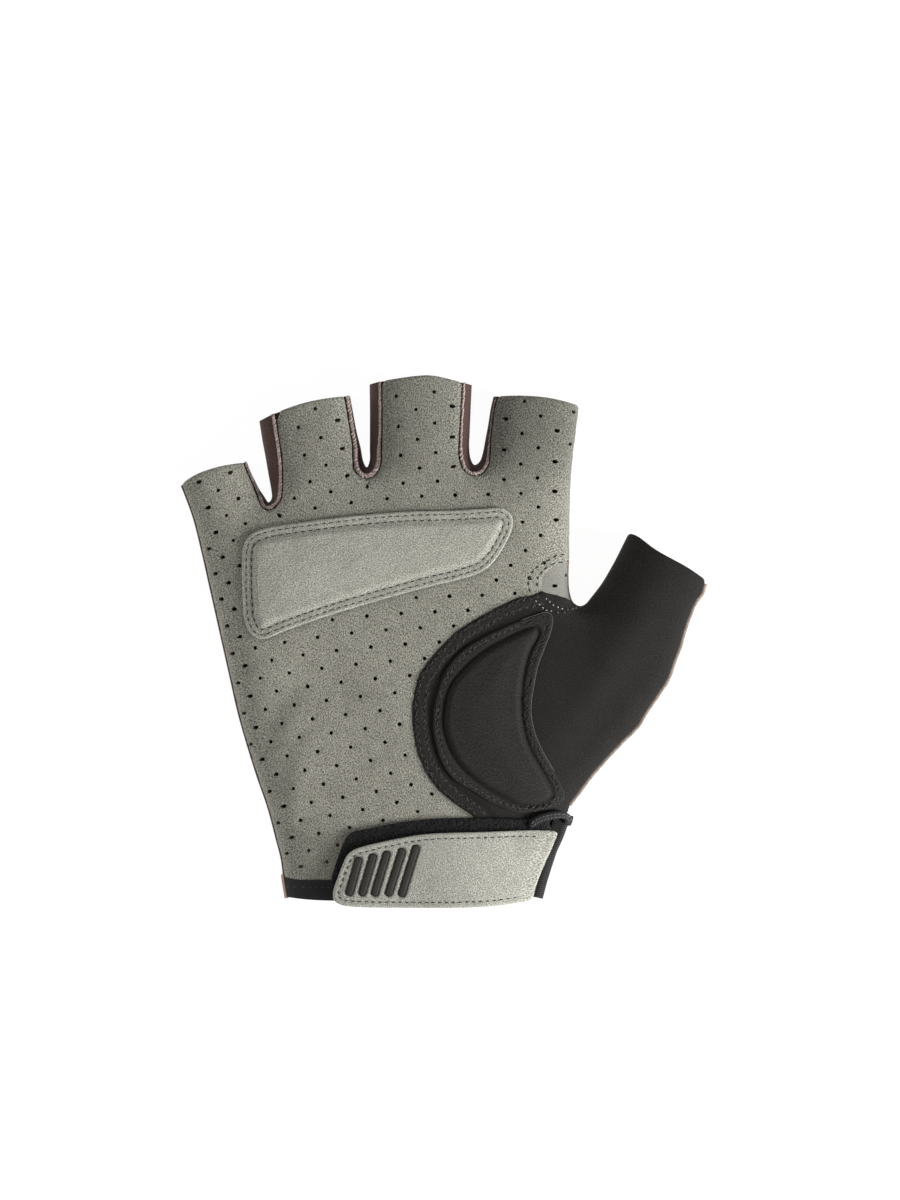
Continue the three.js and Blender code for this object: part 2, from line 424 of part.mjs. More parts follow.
wall('palm_panel', palmOutline, { lift: liftTop, outer: () => 0, inner: () => -WALL, spacing: 6.6, rows: [1.6, 4.2], color: COLORS.suede });

const patchOutline = cleanLoop([
  ...insetEdge(crotchRun(patchStart + CLEAR, patchStop - CLEAR, 1.6), SEAM),
  ...toChart(shift(thumbTop, -GAP / 2)).slice(1, -1).reverse(),
  ...toChart(shift(patchEdge, -GAP / 2)).slice(0, -1).reverse().filter((p) => p[0] < 32.6),
], 0.5);
wall('thumb_crotch_patch', patchOutline, { lift: liftTop, outer: () => 0, inner: () => -WALL, spacing: 3.6, rows: [], color: COLORS.suedePatch });

const STRIP_IN = rollOut(1.25);
const rightLow = place([0, 806])[1];
const thumbOutline = cleanLoop([
  ...toChart(shift(thumbTop, GAP / 2)).slice(1, -1),
  ...insetEdge(crotchRun(patchStop + CLEAR, 1, 3), SEAM),
  ...trimmed(endCurve(THUMB_END), SEGMENTS, 2.4),
  ...insetEdge(seamSts.right.filter((s) => s.q[1] > rightLow), STRIP_IN + GAP),
  ...insetEdge(seamSts.right.filter((s) => s.q[1] <= rightLow - 2), SEAM).filter(aboveCuff),
  ...palmLower.filter((p) => p[0] > wristSeam[0] + 1.2 && p[0] < 25).reverse(),
  ...toChart(shift(thumbEdge, -GAP / 2)).filter((p) => p[1] > wristSeam[1] + 1).reverse(),
]);
wall('thumb_panel', thumbOutline, { lift: liftTop, outer: () => 0, inner: () => -WALL, spacing: 6.2, rows: [1.6, 4.2], color: COLORS.microfibre });

// back of the hand, turned a little over the thumb's outer edge by its own strip
const backOutline = cleanLoop([
  ...insetEdge(seamSts.left, SEAM, true).filter(aboveCuff),
  ...trimmed(endCurve(LITTLE_END), SEGMENTS, 2.2),
  ...insetEdge(forks[0].sts, FOURCHETTE_UNDER + GAP, true),
  ...trimmed(endCurve(RING_END), SEGMENTS, 3.6),
  ...insetEdge(forks[1].sts, FOURCHETTE_UNDER + GAP, true),
  ...trimmed(endCurve(MIDDLE_END), SEGMENTS, 3.6),
  ...insetEdge(forks[2].sts, FOURCHETTE_UNDER + GAP, true),
  ...trimmed(endCurve(INDEX_END), SEGMENTS, 3.2).filter((p) => p[0] > 17),
  ...insetEdge(crotchRun(0, 1, 2.4), SEAM, true),
  ...trimmed(endCurve(THUMB_END), SEGMENTS, 2.2),
  ...insetEdge(seamSts.right.filter((s) => s.q[1] > rightLow), 1.2 + GAP, true),
  ...insetEdge(seamSts.right.filter((s) => s.q[1] <= rightLow - 2), SEAM, true).filter(aboveCuff),
  ...palmLower.filter((p) => p[0] > -42 && p[0] < 25).reverse(),
]);
wall('back_panel', backOutline, { lift: liftBottom, outer: () => 0, inner: () => -WALL, spacing: 12, rows: [1.8, 4.8], color: COLORS.brown, flip: true });

{
  const sts = seamSts.right.filter((s) => s.q[1] > rightLow);
  strip('thumb_side_strip', sts.map((s) => [-1.2, 0, STRIP_IN / 2, STRIP_IN].map((v) => rolled(s, v))), () => 0, () => -WALL, COLORS.brown);
}
for (const f of forks) {
  strip(f.name, f.sts.map((s) => { const w = f.width(s.t); return [-FOURCHETTE_UNDER, -1.1, 0, w * 0.35, w * 0.7, w].map((v) => rolled(s, v)); }), () => 0, () => -WALL, COLORS.maroon);
}

// bound edge round the mouth of the wrist
{
  const ends = { up: curve(CUFF_TOP), low: curve(CUFF_END) }, n = 15, loop = [];
  const point = (c, f, under) => {
    const share = (1 - Math.cos(Math.PI * f)) / 2, v = c.getPoint(Math.min(1, Math.max(0, share)));
    let p = [v.x, v.y];
    const { d, q } = nearest(p, SEGMENTS);
    if (!inside(p, FIELD) || d < 0.02) p = add(q, [f < 0.5 ? 1 : -1, 0], 0.02);
    return under ? onBottom(p) : onTop(p);
  };
  for (let i = 0; i < n; i++) loop.push([point(ends.up, i / n, false), point(ends.low, i / n, false)]);
  for (let i = n; i > 0; i--) loop.push([point(ends.up, i / n, true), point(ends.low, i / n, true)]);
  strip('cuff_binding', loop, () => 0, () => -1.6, COLORS.tape, true);
}

// ---- raised and laid-on pieces -------------------------------------------------------
const closedOutline = (table, step) => toChart(walk(table, step, true));
function puffed(outline, low, border, borderWidth, crown, run) {
  const segs = edgeSegments(outline);
  return (p) => { const e = nearest(p, segs).d; const t = Math.min(1, Math.max(0, (e - borderWidth) / run)); return low + border + crown * t * t * (3 - 2 * t) * Math.min(1, e / borderWidth); };
}
const padOutline = closedOutline(PALM_PAD, 3.6);
wall('palm_pad', padOutline, { lift: liftTop, outer: puffed(padOutline, GAP, 1.0, 2.6, 1.3, 3), inner: () => GAP, spacing: 6, rows: [2.4, 5], color: COLORS.suede });
const leafOutline = closedOutline(THENAR_PAD, 3.2);
wall('thenar_pad', leafOutline, { lift: liftTop, outer: puffed(leafOutline, GAP, 1.0, 2.8, 2.2, 3.5), inner: () => GAP, spacing: 5.2, rows: [2.6, 5.6], color: COLORS.microfibre });
wall('loop_patch', closedOutline(LOOP_PATCH, 3), { lift: liftTop, outer: () => 1.4, inner: () => 0.5, spacing: 4.6, rows: [2], color: COLORS.tape });
const strapOutline = closedOutline(STRAP, 3.4);
const STRAP_LOW = 1.7, STRAP_TOP = 3.1;
wall('strap', strapOutline, { lift: liftTop, outer: () => STRAP_TOP, inner: () => STRAP_LOW, spacing: 4.8, rows: [2], color: COLORS.suedePatch });
BARS.forEach((b, i) => {
  const a = place([b.x0, b.y0]), c = place([b.x1, b.y1]), t = unit(sub(c, a)), s = [-t[1], t[0]], r = BAR_WIDTH / 2, loop = [];
  const m = 4, n = 3;
  for (let k = 0; k <= m; k++) { const w = Math.PI * (k / m); loop.push(add(add(a, s, r * Math.cos(w)), t, r - r * Math.sin(w))); }
  const top = add(a, t, r), end = add(c, t, -r);
  for (let k = 1; k < n; k++) loop.push(add([top[0] + (end[0] - top[0]) * (k / n), top[1] + (end[1] - top[1]) * (k / n)], s, -r));
  for (let k = 0; k <= m; k++) { const w = Math.PI * (k / m); loop.push(add(add(c, s, -r * Math.cos(w)), t, -r + r * Math.sin(w))); }
  for (let k = n - 1; k > 0; k--) loop.push(add([top[0] + (end[0] - top[0]) * (k / n), top[1] + (end[1] - top[1]) * (k / n)], s, r));
  wall(`strap_bar_${i + 1}`, loop, { lift: (p) => onTop(p), outer: () => STRAP_TOP + GAP + 1.1, inner: () => STRAP_TOP + GAP, spacing: 6, rows: [], color: COLORS.rubber });
});
{
  const sts = stations(RIGHT_SIDE, 2.4).filter((s) => s.q[1] < place([0, 818])[1]);
  strip('wrist_tape_side', sts.map((s) => [-2.6, -1.2, 0, 1.3, 2.5].map((v) => rolled(s, v))), (i, j) => [0.7, 1.5, 1.5, 2.4, 2.9][j], () => GAP, COLORS.tape);
}
wall('wrist_tape_arch', closedOutline(TAPE_ARCH, 2.2), { lift: liftTop, outer: () => 2.9, inner: () => 1.6, spacing: 3, rows: [], color: COLORS.tape });

export default glove;
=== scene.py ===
import bmesh
import math

import bpy
import numpy as np
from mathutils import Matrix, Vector
from mathutils.geometry import delaunay_2d_cdt


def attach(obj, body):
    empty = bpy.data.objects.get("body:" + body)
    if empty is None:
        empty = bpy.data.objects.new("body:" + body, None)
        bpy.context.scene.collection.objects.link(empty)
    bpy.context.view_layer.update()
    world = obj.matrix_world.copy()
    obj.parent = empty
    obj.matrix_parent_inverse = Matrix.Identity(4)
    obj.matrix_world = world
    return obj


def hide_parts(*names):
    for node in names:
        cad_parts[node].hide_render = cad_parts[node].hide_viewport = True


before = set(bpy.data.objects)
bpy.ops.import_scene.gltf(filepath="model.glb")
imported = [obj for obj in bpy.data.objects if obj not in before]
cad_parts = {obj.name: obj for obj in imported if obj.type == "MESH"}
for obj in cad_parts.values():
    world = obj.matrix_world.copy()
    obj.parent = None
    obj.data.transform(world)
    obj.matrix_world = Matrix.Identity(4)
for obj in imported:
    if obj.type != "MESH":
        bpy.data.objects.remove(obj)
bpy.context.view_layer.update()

# ---------------------------------------------------------------- surface model (mm, as in the CAD part)

UNIT, PLAN_X, PLAN_Y = 0.278, 444.01, 641.234
SEAM_Z, FULL_RISE, FIRMNESS, ROLL, EDGE_SCALE, GRID = 7.5, 13.0, 0.082, 6.0, 4.0, 1.0
END_RUN, WRIST_RUN = 20.0, 35.0

LEFT_SIDE = [(286, 898), (283, 880), (280.5, 860), (275.5, 840), (267, 808), (256, 776), (246, 744), (237, 712), (228, 672),
             (219, 632), (210, 592), (201, 552), (193, 520), (186, 500), (180.5, 486)]
CROTCH_LITTLE_RING = [(248, 464), (251, 472), (255, 480), (259, 488), (265, 497), (268.5, 502), (271.5, 498), (271, 490),
                      (268.5, 476), (265, 456), (262, 440), (259.5, 424)]
CROTCH_RING_MIDDLE = [(350.5, 397), (354, 416), (357, 432), (361, 448), (363.5, 461), (366.7, 467), (369.3, 461), (369.5, 448),
                      (369.6, 432), (369.6, 408), (369.3, 386)]
CROTCH_MIDDLE_INDEX = [(472, 386), (471, 408), (470, 432), (469.5, 448), (471, 459), (474.5, 464.6), (479, 462), (482, 455),
                       (485, 440), (488, 424), (490.5, 408), (493, 397.5)]
THUMB_CROTCH = [(579, 407), (577, 424), (574, 448), (571, 480), (570, 512), (569.5, 536), (569.5, 560), (569, 576), (570, 592),
                (573.5, 602), (579, 606), (585, 604), (591, 597), (601, 584), (606, 576), (615, 560), (623, 544), (628, 534)]
RIGHT_SIDE = [(707.5, 584.5), (704, 595), (698, 603), (692.7, 614.4), (686.5, 632), (682, 648), (677.3, 660), (670, 680),
              (660, 696), (649, 712), (639, 728), (623, 744), (608, 760), (594, 776), (582, 792), (571, 807), (564, 820),
              (558, 836), (551.5, 850), (546.5, 864), (541.5, 880), (537, 897)]
FOLDS = [(262, 742, 62, 22, 3.4, -0.7), (292, 800, 70, 16, 3.6, 0.7), (300, 690, 15, 20, 6, -0.6), (380, 700, -55, 22, 7, 0.8),
         (300, 505, 10, 18, 4, -0.5), (425, 495, 3, 20, 4, -0.6), (520, 480, -8, 14, 4, -0.5), (600, 720, 52, 26, 5, -0.8),
         (622, 640, 60, 20, 6, 0.8)]
AXIS = {"little": (-0.33, 0.94), "ring": (-0.17, 0.985), "middle": (0.01, 1.0), "index": (0.13, 0.99), "thumb": (0.47, 0.88),
        "wrist_left": (0.09, -1.0), "wrist_right": (-0.2, -1.0)}


def place(table):
    t = np.asarray(table, float)
    return np.stack([(t[:, 0] - PLAN_X) * UNIT, (PLAN_Y - t[:, 1]) * UNIT], 1)


def unit(v):
    v = np.asarray(v, float)
    return v / np.maximum(np.linalg.norm(v, axis=-1, keepdims=True), 1e-12)


def spline(points, closed=False, fine=24):
    """Centripetal curve through points, as a dense polyline."""
    p = np.asarray(points, float)
    n = len(p)
    out = []
    for i in range(n if closed else n - 1):
        p1, p2 = p[i], p[(i + 1) % n]
        p0 = p[i - 1] if (closed or i > 0) else 2 * p1 - p2
        p3 = p[(i + 2) % n] if (closed or i < n - 2) else 2 * p2 - p1
        t0 = max(np.linalg.norm(p1 - p0), 1e-9) ** 0.5
        t1 = max(np.linalg.norm(p2 - p1), 1e-9) ** 0.5
        t2 = max(np.linalg.norm(p3 - p2), 1e-9) ** 0.5
        m1 = ((p1 - p0) / t0 - (p2 - p0) / (t0 + t1) + (p2 - p1) / t1) * t1
        m2 = ((p2 - p1) / t1 - (p3 - p1) / (t1 + t2) + (p3 - p2) / t2) * t1
        s = np.linspace(0, 1, fine, endpoint=False)[:, None]
        out.append((2 * p1 - 2 * p2 + m1 + m2) * s ** 3 + (-3 * p1 + 3 * p2 - 2 * m1 - m2) * s ** 2 + m1 * s + p1)
    if not closed:
        out.append(p[-1:])
    return np.concatenate(out)


def resample(line, step=None, count=None, closed=False, shares=None):
    q = np.concatenate([line, line[:1]]) if closed else line
    d = np.concatenate([[0], np.cumsum(np.linalg.norm(np.diff(q, axis=0), axis=1))])
    if shares is None:
        n = count or max(2, int(round(d[-1] / step)))
        shares = np.linspace(0, 1, n + 1)[: n if closed else n + 1]
    s = np.asarray(shares) * d[-1]
    return np.stack([np.interp(s, d, q[:, k]) for k in range(q.shape[1])], 1)


def length_of(line):
    return float(np.linalg.norm(np.diff(line, axis=0), axis=1).sum())


def extended(table, head, head_len, tail, tail_len):
    pts = resample(spline(place(table)), step=0.8)
    return np.concatenate([[pts[0] + unit(head) * head_len], pts, [pts[-1] + unit(tail) * tail_len]])


SIDES = [
    extended(LEFT_SIDE, AXIS["wrist_left"], WRIST_RUN, AXIS["little"], END_RUN),
    extended(CROTCH_LITTLE_RING, AXIS["little"], END_RUN, AXIS["ring"], END_RUN),
    extended(CROTCH_RING_MIDDLE, AXIS["ring"], END_RUN, AXIS["middle"], END_RUN),
    extended(CROTCH_MIDDLE_INDEX, AXIS["middle"], END_RUN, AXIS["index"], END_RUN),
    extended(THUMB_CROTCH, AXIS["index"], END_RUN, AXIS["thumb"], END_RUN),
    extended(RIGHT_SIDE, AXIS["thumb"], END_RUN, AXIS["wrist_right"], WRIST_RUN),
]
FIELD = np.concatenate(SIDES)
SEG_A = np.concatenate([s[:-1] for s in SIDES])
SEG_B = np.concatenate([s[1:] for s in SIDES])


def inside(p, poly):
    p = np.asarray(p, float)
    hit = np.zeros(len(p), bool)
    a, b = poly, np.roll(poly, 1, axis=0)
    for (ax, ay), (bx, by) in zip(a, b):
        if ay == by:
            continue
        c = ((ay > p[:, 1]) != (by > p[:, 1])) & (p[:, 0] < (bx - ax) * (p[:, 1] - ay) / (by - ay) + ax)
        hit ^= c
    return hit


def nearest(p, a=None, b=None):
    """Distance to, and foot on, the nearest of the segments a-b (the sides of the glove by default)."""
    a, b = (SEG_A, SEG_B) if a is None else (a, b)
    p = np.asarray(p, float)
    best = np.full(len(p), np.inf)
    foot = np.zeros((len(p), 2))
    ab = b - a
    inv = 1.0 / np.maximum((ab ** 2).sum(1), 1e-12)
    for k in range(0, len(p), 4096):
        q = p[k:k + 4096]
        ap = q[:, None, :] - a[None]
        t = np.clip((ap * ab).sum(2) * inv, 0, 1)
        d = ap - ab * t[:, :, None]
        dd = (d ** 2).sum(2)
        i = dd.argmin(1)
        r = np.arange(len(q))
        best[k:k + 4096] = dd[r, i]
        foot[k:k + 4096] = a[i] + ab[i] * t[r, i][:, None]
    return np.sqrt(best), foot


def profile(d):
    return EDGE_SCALE * (1 - np.exp(-np.maximum(d, 0) / EDGE_SCALE))


LO = FIELD.min(0) - 3
NX, NY = [int(v) for v in np.ceil((FIELD.max(0) + 3 - LO) / GRID) + 1]


def membrane():
    """Rise of a cloth skin that is filled out and held along its sides, relaxed on a grid, over the edge profile."""
    gx, gy = np.meshgrid(LO[0] + np.arange(NX) * GRID, LO[1] + np.arange(NY) * GRID)
    pts = np.stack([gx.ravel(), gy.ravel()], 1)
    live = inside(pts, FIELD).reshape(NY, NX)
    live[0] = live[-1] = False
    live[:, 0] = live[:, -1] = False
    depth = np.zeros(NX * NY)
    idx = np.flatnonzero(live.ravel())
    depth[idx] = nearest(pts[idx])[0]
    depth = depth.reshape(NY, NX)
    u = np.zeros((NY, NX))
    k2 = (FIRMNESS * GRID) ** 2
    load = k2 * FULL_RISE ** 2
    odd = ((np.add.outer(np.arange(NY), np.arange(NX))) % 2).astype(bool)
    masks = [live[1:-1, 1:-1] & odd[1:-1, 1:-1], live[1:-1, 1:-1] & ~odd[1:-1, 1:-1]]
    for _ in range(420):
        for m in masks:
            nxt = (u[1:-1, :-2] + u[1:-1, 2:] + u[:-2, 1:-1] + u[2:, 1:-1] + load) / (4 + k2)
            core = u[1:-1, 1:-1]
            core[m] += 1.85 * (nxt[m] - core[m])
    known = live & (depth >= 2)
    ratio = np.where(known, u / np.maximum(profile(depth), 1e-9), 0.0)
    for _ in range(9):
        s = np.zeros_like(ratio)
        n = np.zeros_like(ratio)
        for dy in (-1, 0, 1):
            for dx in (-1, 0, 1):
                if dx or dy:
                    kk = np.roll(np.roll(known, dy, 0), dx, 1)
                    s += np.where(kk, np.roll(np.roll(ratio, dy, 0), dx, 1), 0)
                    n += kk
        new = ~known & (n > 0)
        ratio[new] = s[new] / n[new]
        known |= new
    return ratio


RATIO = membrane()


def smooth_sample(field, x, y):
    """Bicubic (Catmull-Rom) sample of a grid field."""
    fx = np.clip((x - LO[0]) / GRID, 1, NX - 3.001)
    fy = np.clip((y - LO[1]) / GRID, 1, NY - 3.001)
    i, j = fx.astype(int), fy.astype(int)
    a, b = fx - i, fy - j

    def w(t):
        return (-0.5 * t + t * t - 0.5 * t ** 3, 1 - 2.5 * t * t + 1.5 * t ** 3, 0.5 * t + 2 * t * t - 1.5 * t ** 3, -0.5 * t * t + 0.5 * t ** 3)

    wx, wy = w(a), w(b)
    out = np.zeros_like(fx)
    for m in range(4):
        row = np.zeros_like(fx)
        for k in range(4):
            row += wx[k] * field[j + m - 1, i + k - 1]
        out += wy[m] * row
    return out


def fold_height(x, y):
    s = np.zeros_like(x)
    for px, py, turn, half, width, height in FOLDS:
        cx, cy = (px - PLAN_X) * UNIT, (PLAN_Y - py) * UNIT
        c, n = math.cos(math.radians(turn)), math.sin(math.radians(turn))
        dx, dy = x - cx, y - cy
        s += height * np.exp(-((dx * c + dy * n) / half) ** 2 - ((-dx * n + dy * c) / width) ** 2)
    return s


def roll_in(s):
    s = np.asarray(s, float)
    return np.where(s >= ROLL, s, ROLL * (1 - np.cos(np.pi * np.clip(s, 0, ROLL) / (2 * ROLL))))


def roll_out(d):
    d = np.asarray(d, float)
    return np.where(d >= ROLL, d, (2 * ROLL / np.pi) * np.arccos(np.clip(1 - d / ROLL, -1, 1)))


def top_z(p, d=None):
    if d is None:
        d = nearest(p)[0]
    u = np.maximum(smooth_sample(RATIO, p[:, 0], p[:, 1]), 0) * profile(d)
    return SEAM_Z + np.sqrt(u) + fold_height(p[:, 0], p[:, 1]) * (1 - np.exp(-(d / 5) ** 2))


def bottom_z(d):
    e = 1 - np.minimum(d, ROLL) / ROLL
    return SEAM_Z * (1 - np.sqrt(np.maximum(0, 1 - e * e)))


def chart(p):
    p = np.asarray(p, float)
    d, q = nearest(p)
    far = (d >= ROLL) | (d < 1e-6)
    return np.where(far[:, None], p, q + unit(p - q) * roll_out(d)[:, None])


def unchart(p):
    p = np.asarray(p, float)
    d, q = nearest(p)
    far = (d >= ROLL) | (d < 1e-6)
    r = roll_in(d)
    return np.where(far[:, None], p, q + unit(p - q) * r[:, None]), np.where(far, d, r)

def lift_top(p):
    q, d = unchart(p)
    return np.column_stack([q, top_z(q, d)])


def lift_bottom(p):
    q, d = unchart(p)
    return np.column_stack([q, bottom_z(d)])


def frames(p, lift):
    """Surface point and outward normal at chart points."""
    h = 0.12
    b = lift(p)
    gx = lift(p + [h, 0]) - lift(p - [h, 0])
    gy = lift(p + [0, h]) - lift(p - [0, h])
    n = unit(np.cross(gx, gy))
    if lift is lift_bottom:
        n = -n
    return b, n


def stations(table, step=None, shares=None):
    line = resample(spline(place(table)), step=step, shares=shares)
    fine = spline(place(table))
    d = np.concatenate([[0], np.cumsum(np.linalg.norm(np.diff(fine, axis=0), axis=1))])
    t = np.linspace(0, 1, len(line)) if shares is None else np.asarray(shares)
    at = lambda s: np.stack([np.interp(np.clip(s, 0, 1) * d[-1], d, fine[:, k]) for k in (0, 1)], 1)
    w = 0.6 / d[-1]
    run = unit(at(t + w) - at(t - w))
    return line, np.stack([run[:, 1], -run[:, 0]], 1), t


def rolled(q, n, v):
    """Surface points at signed distances v (inwards over the top, negative underneath) from outline points q."""
    r = roll_in(np.abs(v))
    p = q + n * r[:, None]
    z = np.where(v >= 0, top_z(p), bottom_z(np.minimum(r, nearest(p)[0] + 0.4)))
    z = np.where(np.abs(v) < 1e-6, SEAM_Z, z)
    return np.column_stack([p, z])


# ---------------------------------------------------------------- mesh helpers
MATERIALS = {}
RNG = np.random.default_rng(7)


def to_object(name, verts, faces, mat, uv=None, shade=None, sharp=55, ride=True):
    me = bpy.data.meshes.new(name)
    me.from_pydata((np.asarray(verts) * 0.001).tolist(), [], [list(map(int, f)) for f in faces])
    me.validate()
    for p in me.polygons:
        p.use_smooth = True
    me.set_sharp_from_angle(angle=math.radians(sharp))
    if uv is not None:
        layer = me.uv_layers.new(name="plan_mm")
        loops = np.empty(len(me.loops), np.int32)
        me.loops.foreach_get("vertex_index", loops)
        layer.data.foreach_set("uv", np.asarray(uv, np.float32)[loops].ravel())
    # the 'shade' attribute multiplies the colour: it carries painted light and shade, and is 1 where none is painted
    a = me.attributes.new("shade", "FLOAT", "POINT")
    a.data.foreach_set("value", np.asarray(shade if shade is not None else np.ones(len(verts)), np.float32))
    me.materials.append(MATERIALS[mat])
    ob = bpy.data.objects.new(name, me)
    bpy.context.scene.collection.objects.link(ob)
    if ride:
        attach(ob, "root")
    return ob


def loop_segments(poly):
    return poly, np.roll(poly, -1, axis=0)


def area(poly):
    x, y = poly[:, 0], poly[:, 1]
    return float((x * np.roll(y, -1) - np.roll(x, -1) * y).sum() / 2)


def inset_loop(poly, e, step=None):
    """Closed curve at depth e inside a closed outline."""
    p = poly if area(poly) > 0 else poly[::-1]
    t = unit(np.roll(p, -1, axis=0) - np.roll(p, 1, axis=0))
    q = p + np.stack([-t[:, 1], t[:, 0]], 1) * e
    d = nearest(q, *loop_segments(p))[0]
    q = q[d > 0.95 * e]
    return resample(q, step=step, closed=True) if step else q


def side_shift(line, e):
    """Open curve moved by e to its right."""
    t = unit(np.gradient(line, axis=0))
    return line + np.stack([t[:, 1], -t[:, 0]], 1) * e


def triangulate(outline, spacing, holes=(), extra=None, edge_rows=(0.22, 0.6), keep_off=0.0):
    poly = outline if area(outline) > 0 else outline[::-1]
    a, b = loop_segments(poly)
    lo, hi = poly.min(0), poly.max(0)
    rows = np.arange(lo[1], hi[1], spacing * 0.866)
    pts = []
    for k, y in enumerate(rows):
        x = np.arange(lo[0] + (spacing / 2 if k % 2 else 0), hi[0], spacing)
        pts.append(np.stack([x, np.full(len(x), y)], 1))
    pts = np.concatenate(pts)
    pts = pts + RNG.uniform(-0.06, 0.06, pts.shape) * spacing
    pts = pts[inside(pts, poly)]
    deepest = max(edge_rows) if edge_rows else 0
    pts = pts[nearest(pts, a, b)[0] > deepest + 0.45 * spacing]
    for k, e in enumerate(edge_rows):
        q = resample(poly, step=max(0.5, min(spacing, 0.9)), closed=True)
        t = unit(np.roll(q, -1, axis=0) - np.roll(q, 1, axis=0))
        q = q + np.stack([-t[:, 1], t[:, 0]], 1) * e
        q = q[inside(q, poly)]
        q = q[nearest(q, a, b)[0] > 0.93 * e]
        pts = np.concatenate([pts, q])
    if extra is not None and len(extra):
        ex = extra[inside(extra, poly)]
        ex = ex[nearest(ex, a, b)[0] > 0.12]
        if keep_off:
            grid = {}
            for i, p in enumerate(ex):
                grid.setdefault((int(p[0] // keep_off), int(p[1] // keep_off)), []).append(p)
            keep = np.ones(len(pts), bool)
            for i, p in enumerate(pts):
                cx, cy = int(p[0] // keep_off), int(p[1] // keep_off)
                for ix in (cx - 1, cx, cx + 1):
                    for iy in (cy - 1, cy, cy + 1):
                        for e in grid.get((ix, iy), ()):
                            if (p[0] - e[0]) ** 2 + (p[1] - e[1]) ** 2 < (keep_off * 0.55) ** 2:
                                keep[i] = False
            pts = pts[keep]
        pts = np.concatenate([pts, ex])
    if len(holes):
        centres = np.array([h.mean(0) for h in holes])
        size = max(np.linalg.norm(holes[0] - centres[0], axis=1).max() * 1.5, 0.1) + 0.3 * spacing
        cell = {}
        for c in centres:
            cell.setdefault((int(c[0] // size), int(c[1] // size)), []).append(c)
        keep = np.ones(len(pts), bool)
        for i, p in enumerate(pts):
            cx, cy = int(p[0] // size), int(p[1] // size)
            for ix in (cx - 1, cx, cx + 1):
                for iy in (cy - 1, cy, cy + 1):
                    for c in cell.get((ix, iy), ()):
                        if (p[0] - c[0]) ** 2 + (p[1] - c[1]) ** 2 < size * size:
                            keep[i] = False
        pts = pts[keep]
        rings = [(h - h.mean(0)) * 1.42 + h.mean(0) for h in holes]
        pts = np.concatenate([pts] + rings)
    coords = [poly]
    edges = [(i, (i + 1) % len(poly)) for i in range(len(poly))]
    base = len(poly)
    for h in holes:
        edges += [(base + i, base + (i + 1) % len(h)) for i in range(len(h))]
        coords.append(h)
        base += len(h)
    coords.append(pts)
    coords = np.concatenate(coords)
    out = delaunay_2d_cdt([Vector(c) for c in coords.tolist()], edges, [], 0, 1e-5)
    verts = np.array([tuple(v) for v in out[0]])
    tris = np.array([f for f in out[2] if len(f) == 3])
    mid = verts[tris].mean(1)
    ok = inside(mid, poly)
    for h in holes:
        c = h.mean(0)
        r = np.linalg.norm(h - c, axis=1).max()
        near = np.flatnonzero(((mid - c) ** 2).sum(1) < r * r)
        if len(near):
            ok[near[inside(mid[near], h)]] = False
    tris = tris[ok]
    u, v, w = verts[tris[:, 0]], verts[tris[:, 1]], verts[tris[:, 2]]
    flip = ((v - u)[:, 0] * (w - u)[:, 1] - (v - u)[:, 1] * (w - u)[:, 0]) < 0
    tris[flip] = tris[flip][:, ::-1]
    used = np.unique(tris)
    remap = -np.ones(len(verts), int)
    remap[used] = np.arange(len(used))
    return verts[used], remap[tris], poly


def vertex_normals(pos, tris):
    n = np.cross(pos[tris[:, 1]] - pos[tris[:, 0]], pos[tris[:, 2]] - pos[tris[:, 0]])
    out = np.zeros_like(pos)
    for k in range(3):
        np.add.at(out, tris[:, k], n)
    return unit(out)


def rim_edges(tris):
    e = np.concatenate([tris[:, [0, 1]], tris[:, [1, 2]], tris[:, [2, 0]]])
    key = np.sort(e, axis=1)
    _, first, count = np.unique(key, axis=0, return_index=True, return_counts=True)
    return e[first[count == 1]]


def panel(name, outline, lift, outer, inner, mat, spacing=0.9, holes=(), extra=None, keep_off=0.0, edge_rows=(0.22, 0.6),
          shade=None, flip=False, sharp=55, step=0.6, inside_painted_shade=0.18):
    """Closed wall over a chart outline: outer(p, e) and inner(p, e) give heights along the surface normal, e is the depth from the edge."""
    outline = resample(outline, step=step, closed=True)
    p, tris, poly = triangulate(outline, spacing, holes, extra, edge_rows, keep_off)
    base = lift(p)
    n = vertex_normals(base, tris)
    if flip:
        n = -n
    e = nearest(p, *loop_segments(poly))[0]
    top = base + n * outer(p, e)[:, None]
    low = base + n * inner(p, e)[:, None]
    m = len(p)
    faces = [tris, tris[:, ::-1] + m]
    if flip:
        faces = [tris[:, ::-1], tris + m]
    rim = rim_edges(tris)
    quads = np.stack([rim[:, 1], rim[:, 0], rim[:, 0] + m, rim[:, 1] + m], 1)
    if flip:
        quads = quads[:, ::-1]
    faces = [f for g in faces for f in g.tolist()] + quads.tolist()
    sh = np.ones(m) if shade is None else shade(p, e)
    # inner faces get the colour times inside_painted_shade: painted shade inside the hollow glove
    ob = to_object(name, np.concatenate([top, low]), faces, mat, uv=np.concatenate([p, p]), shade=np.concatenate([sh, sh * inside_painted_shade]), sharp=sharp)
    ob["flat_area_mm2"] = float(np.linalg.norm(np.cross(base[tris[:, 1]] - base[tris[:, 0]], base[tris[:, 2]] - base[tris[:, 0]]), axis=1).sum() / 2)
    ob["flat_size_mm"] = [float(v) for v in (p.max(0) - p.min(0))]
    return ob


def grid_normals(g):
    a = np.gradient(g, axis=0)
    b = np.gradient(g, axis=1)
    return unit(np.cross(b, a))


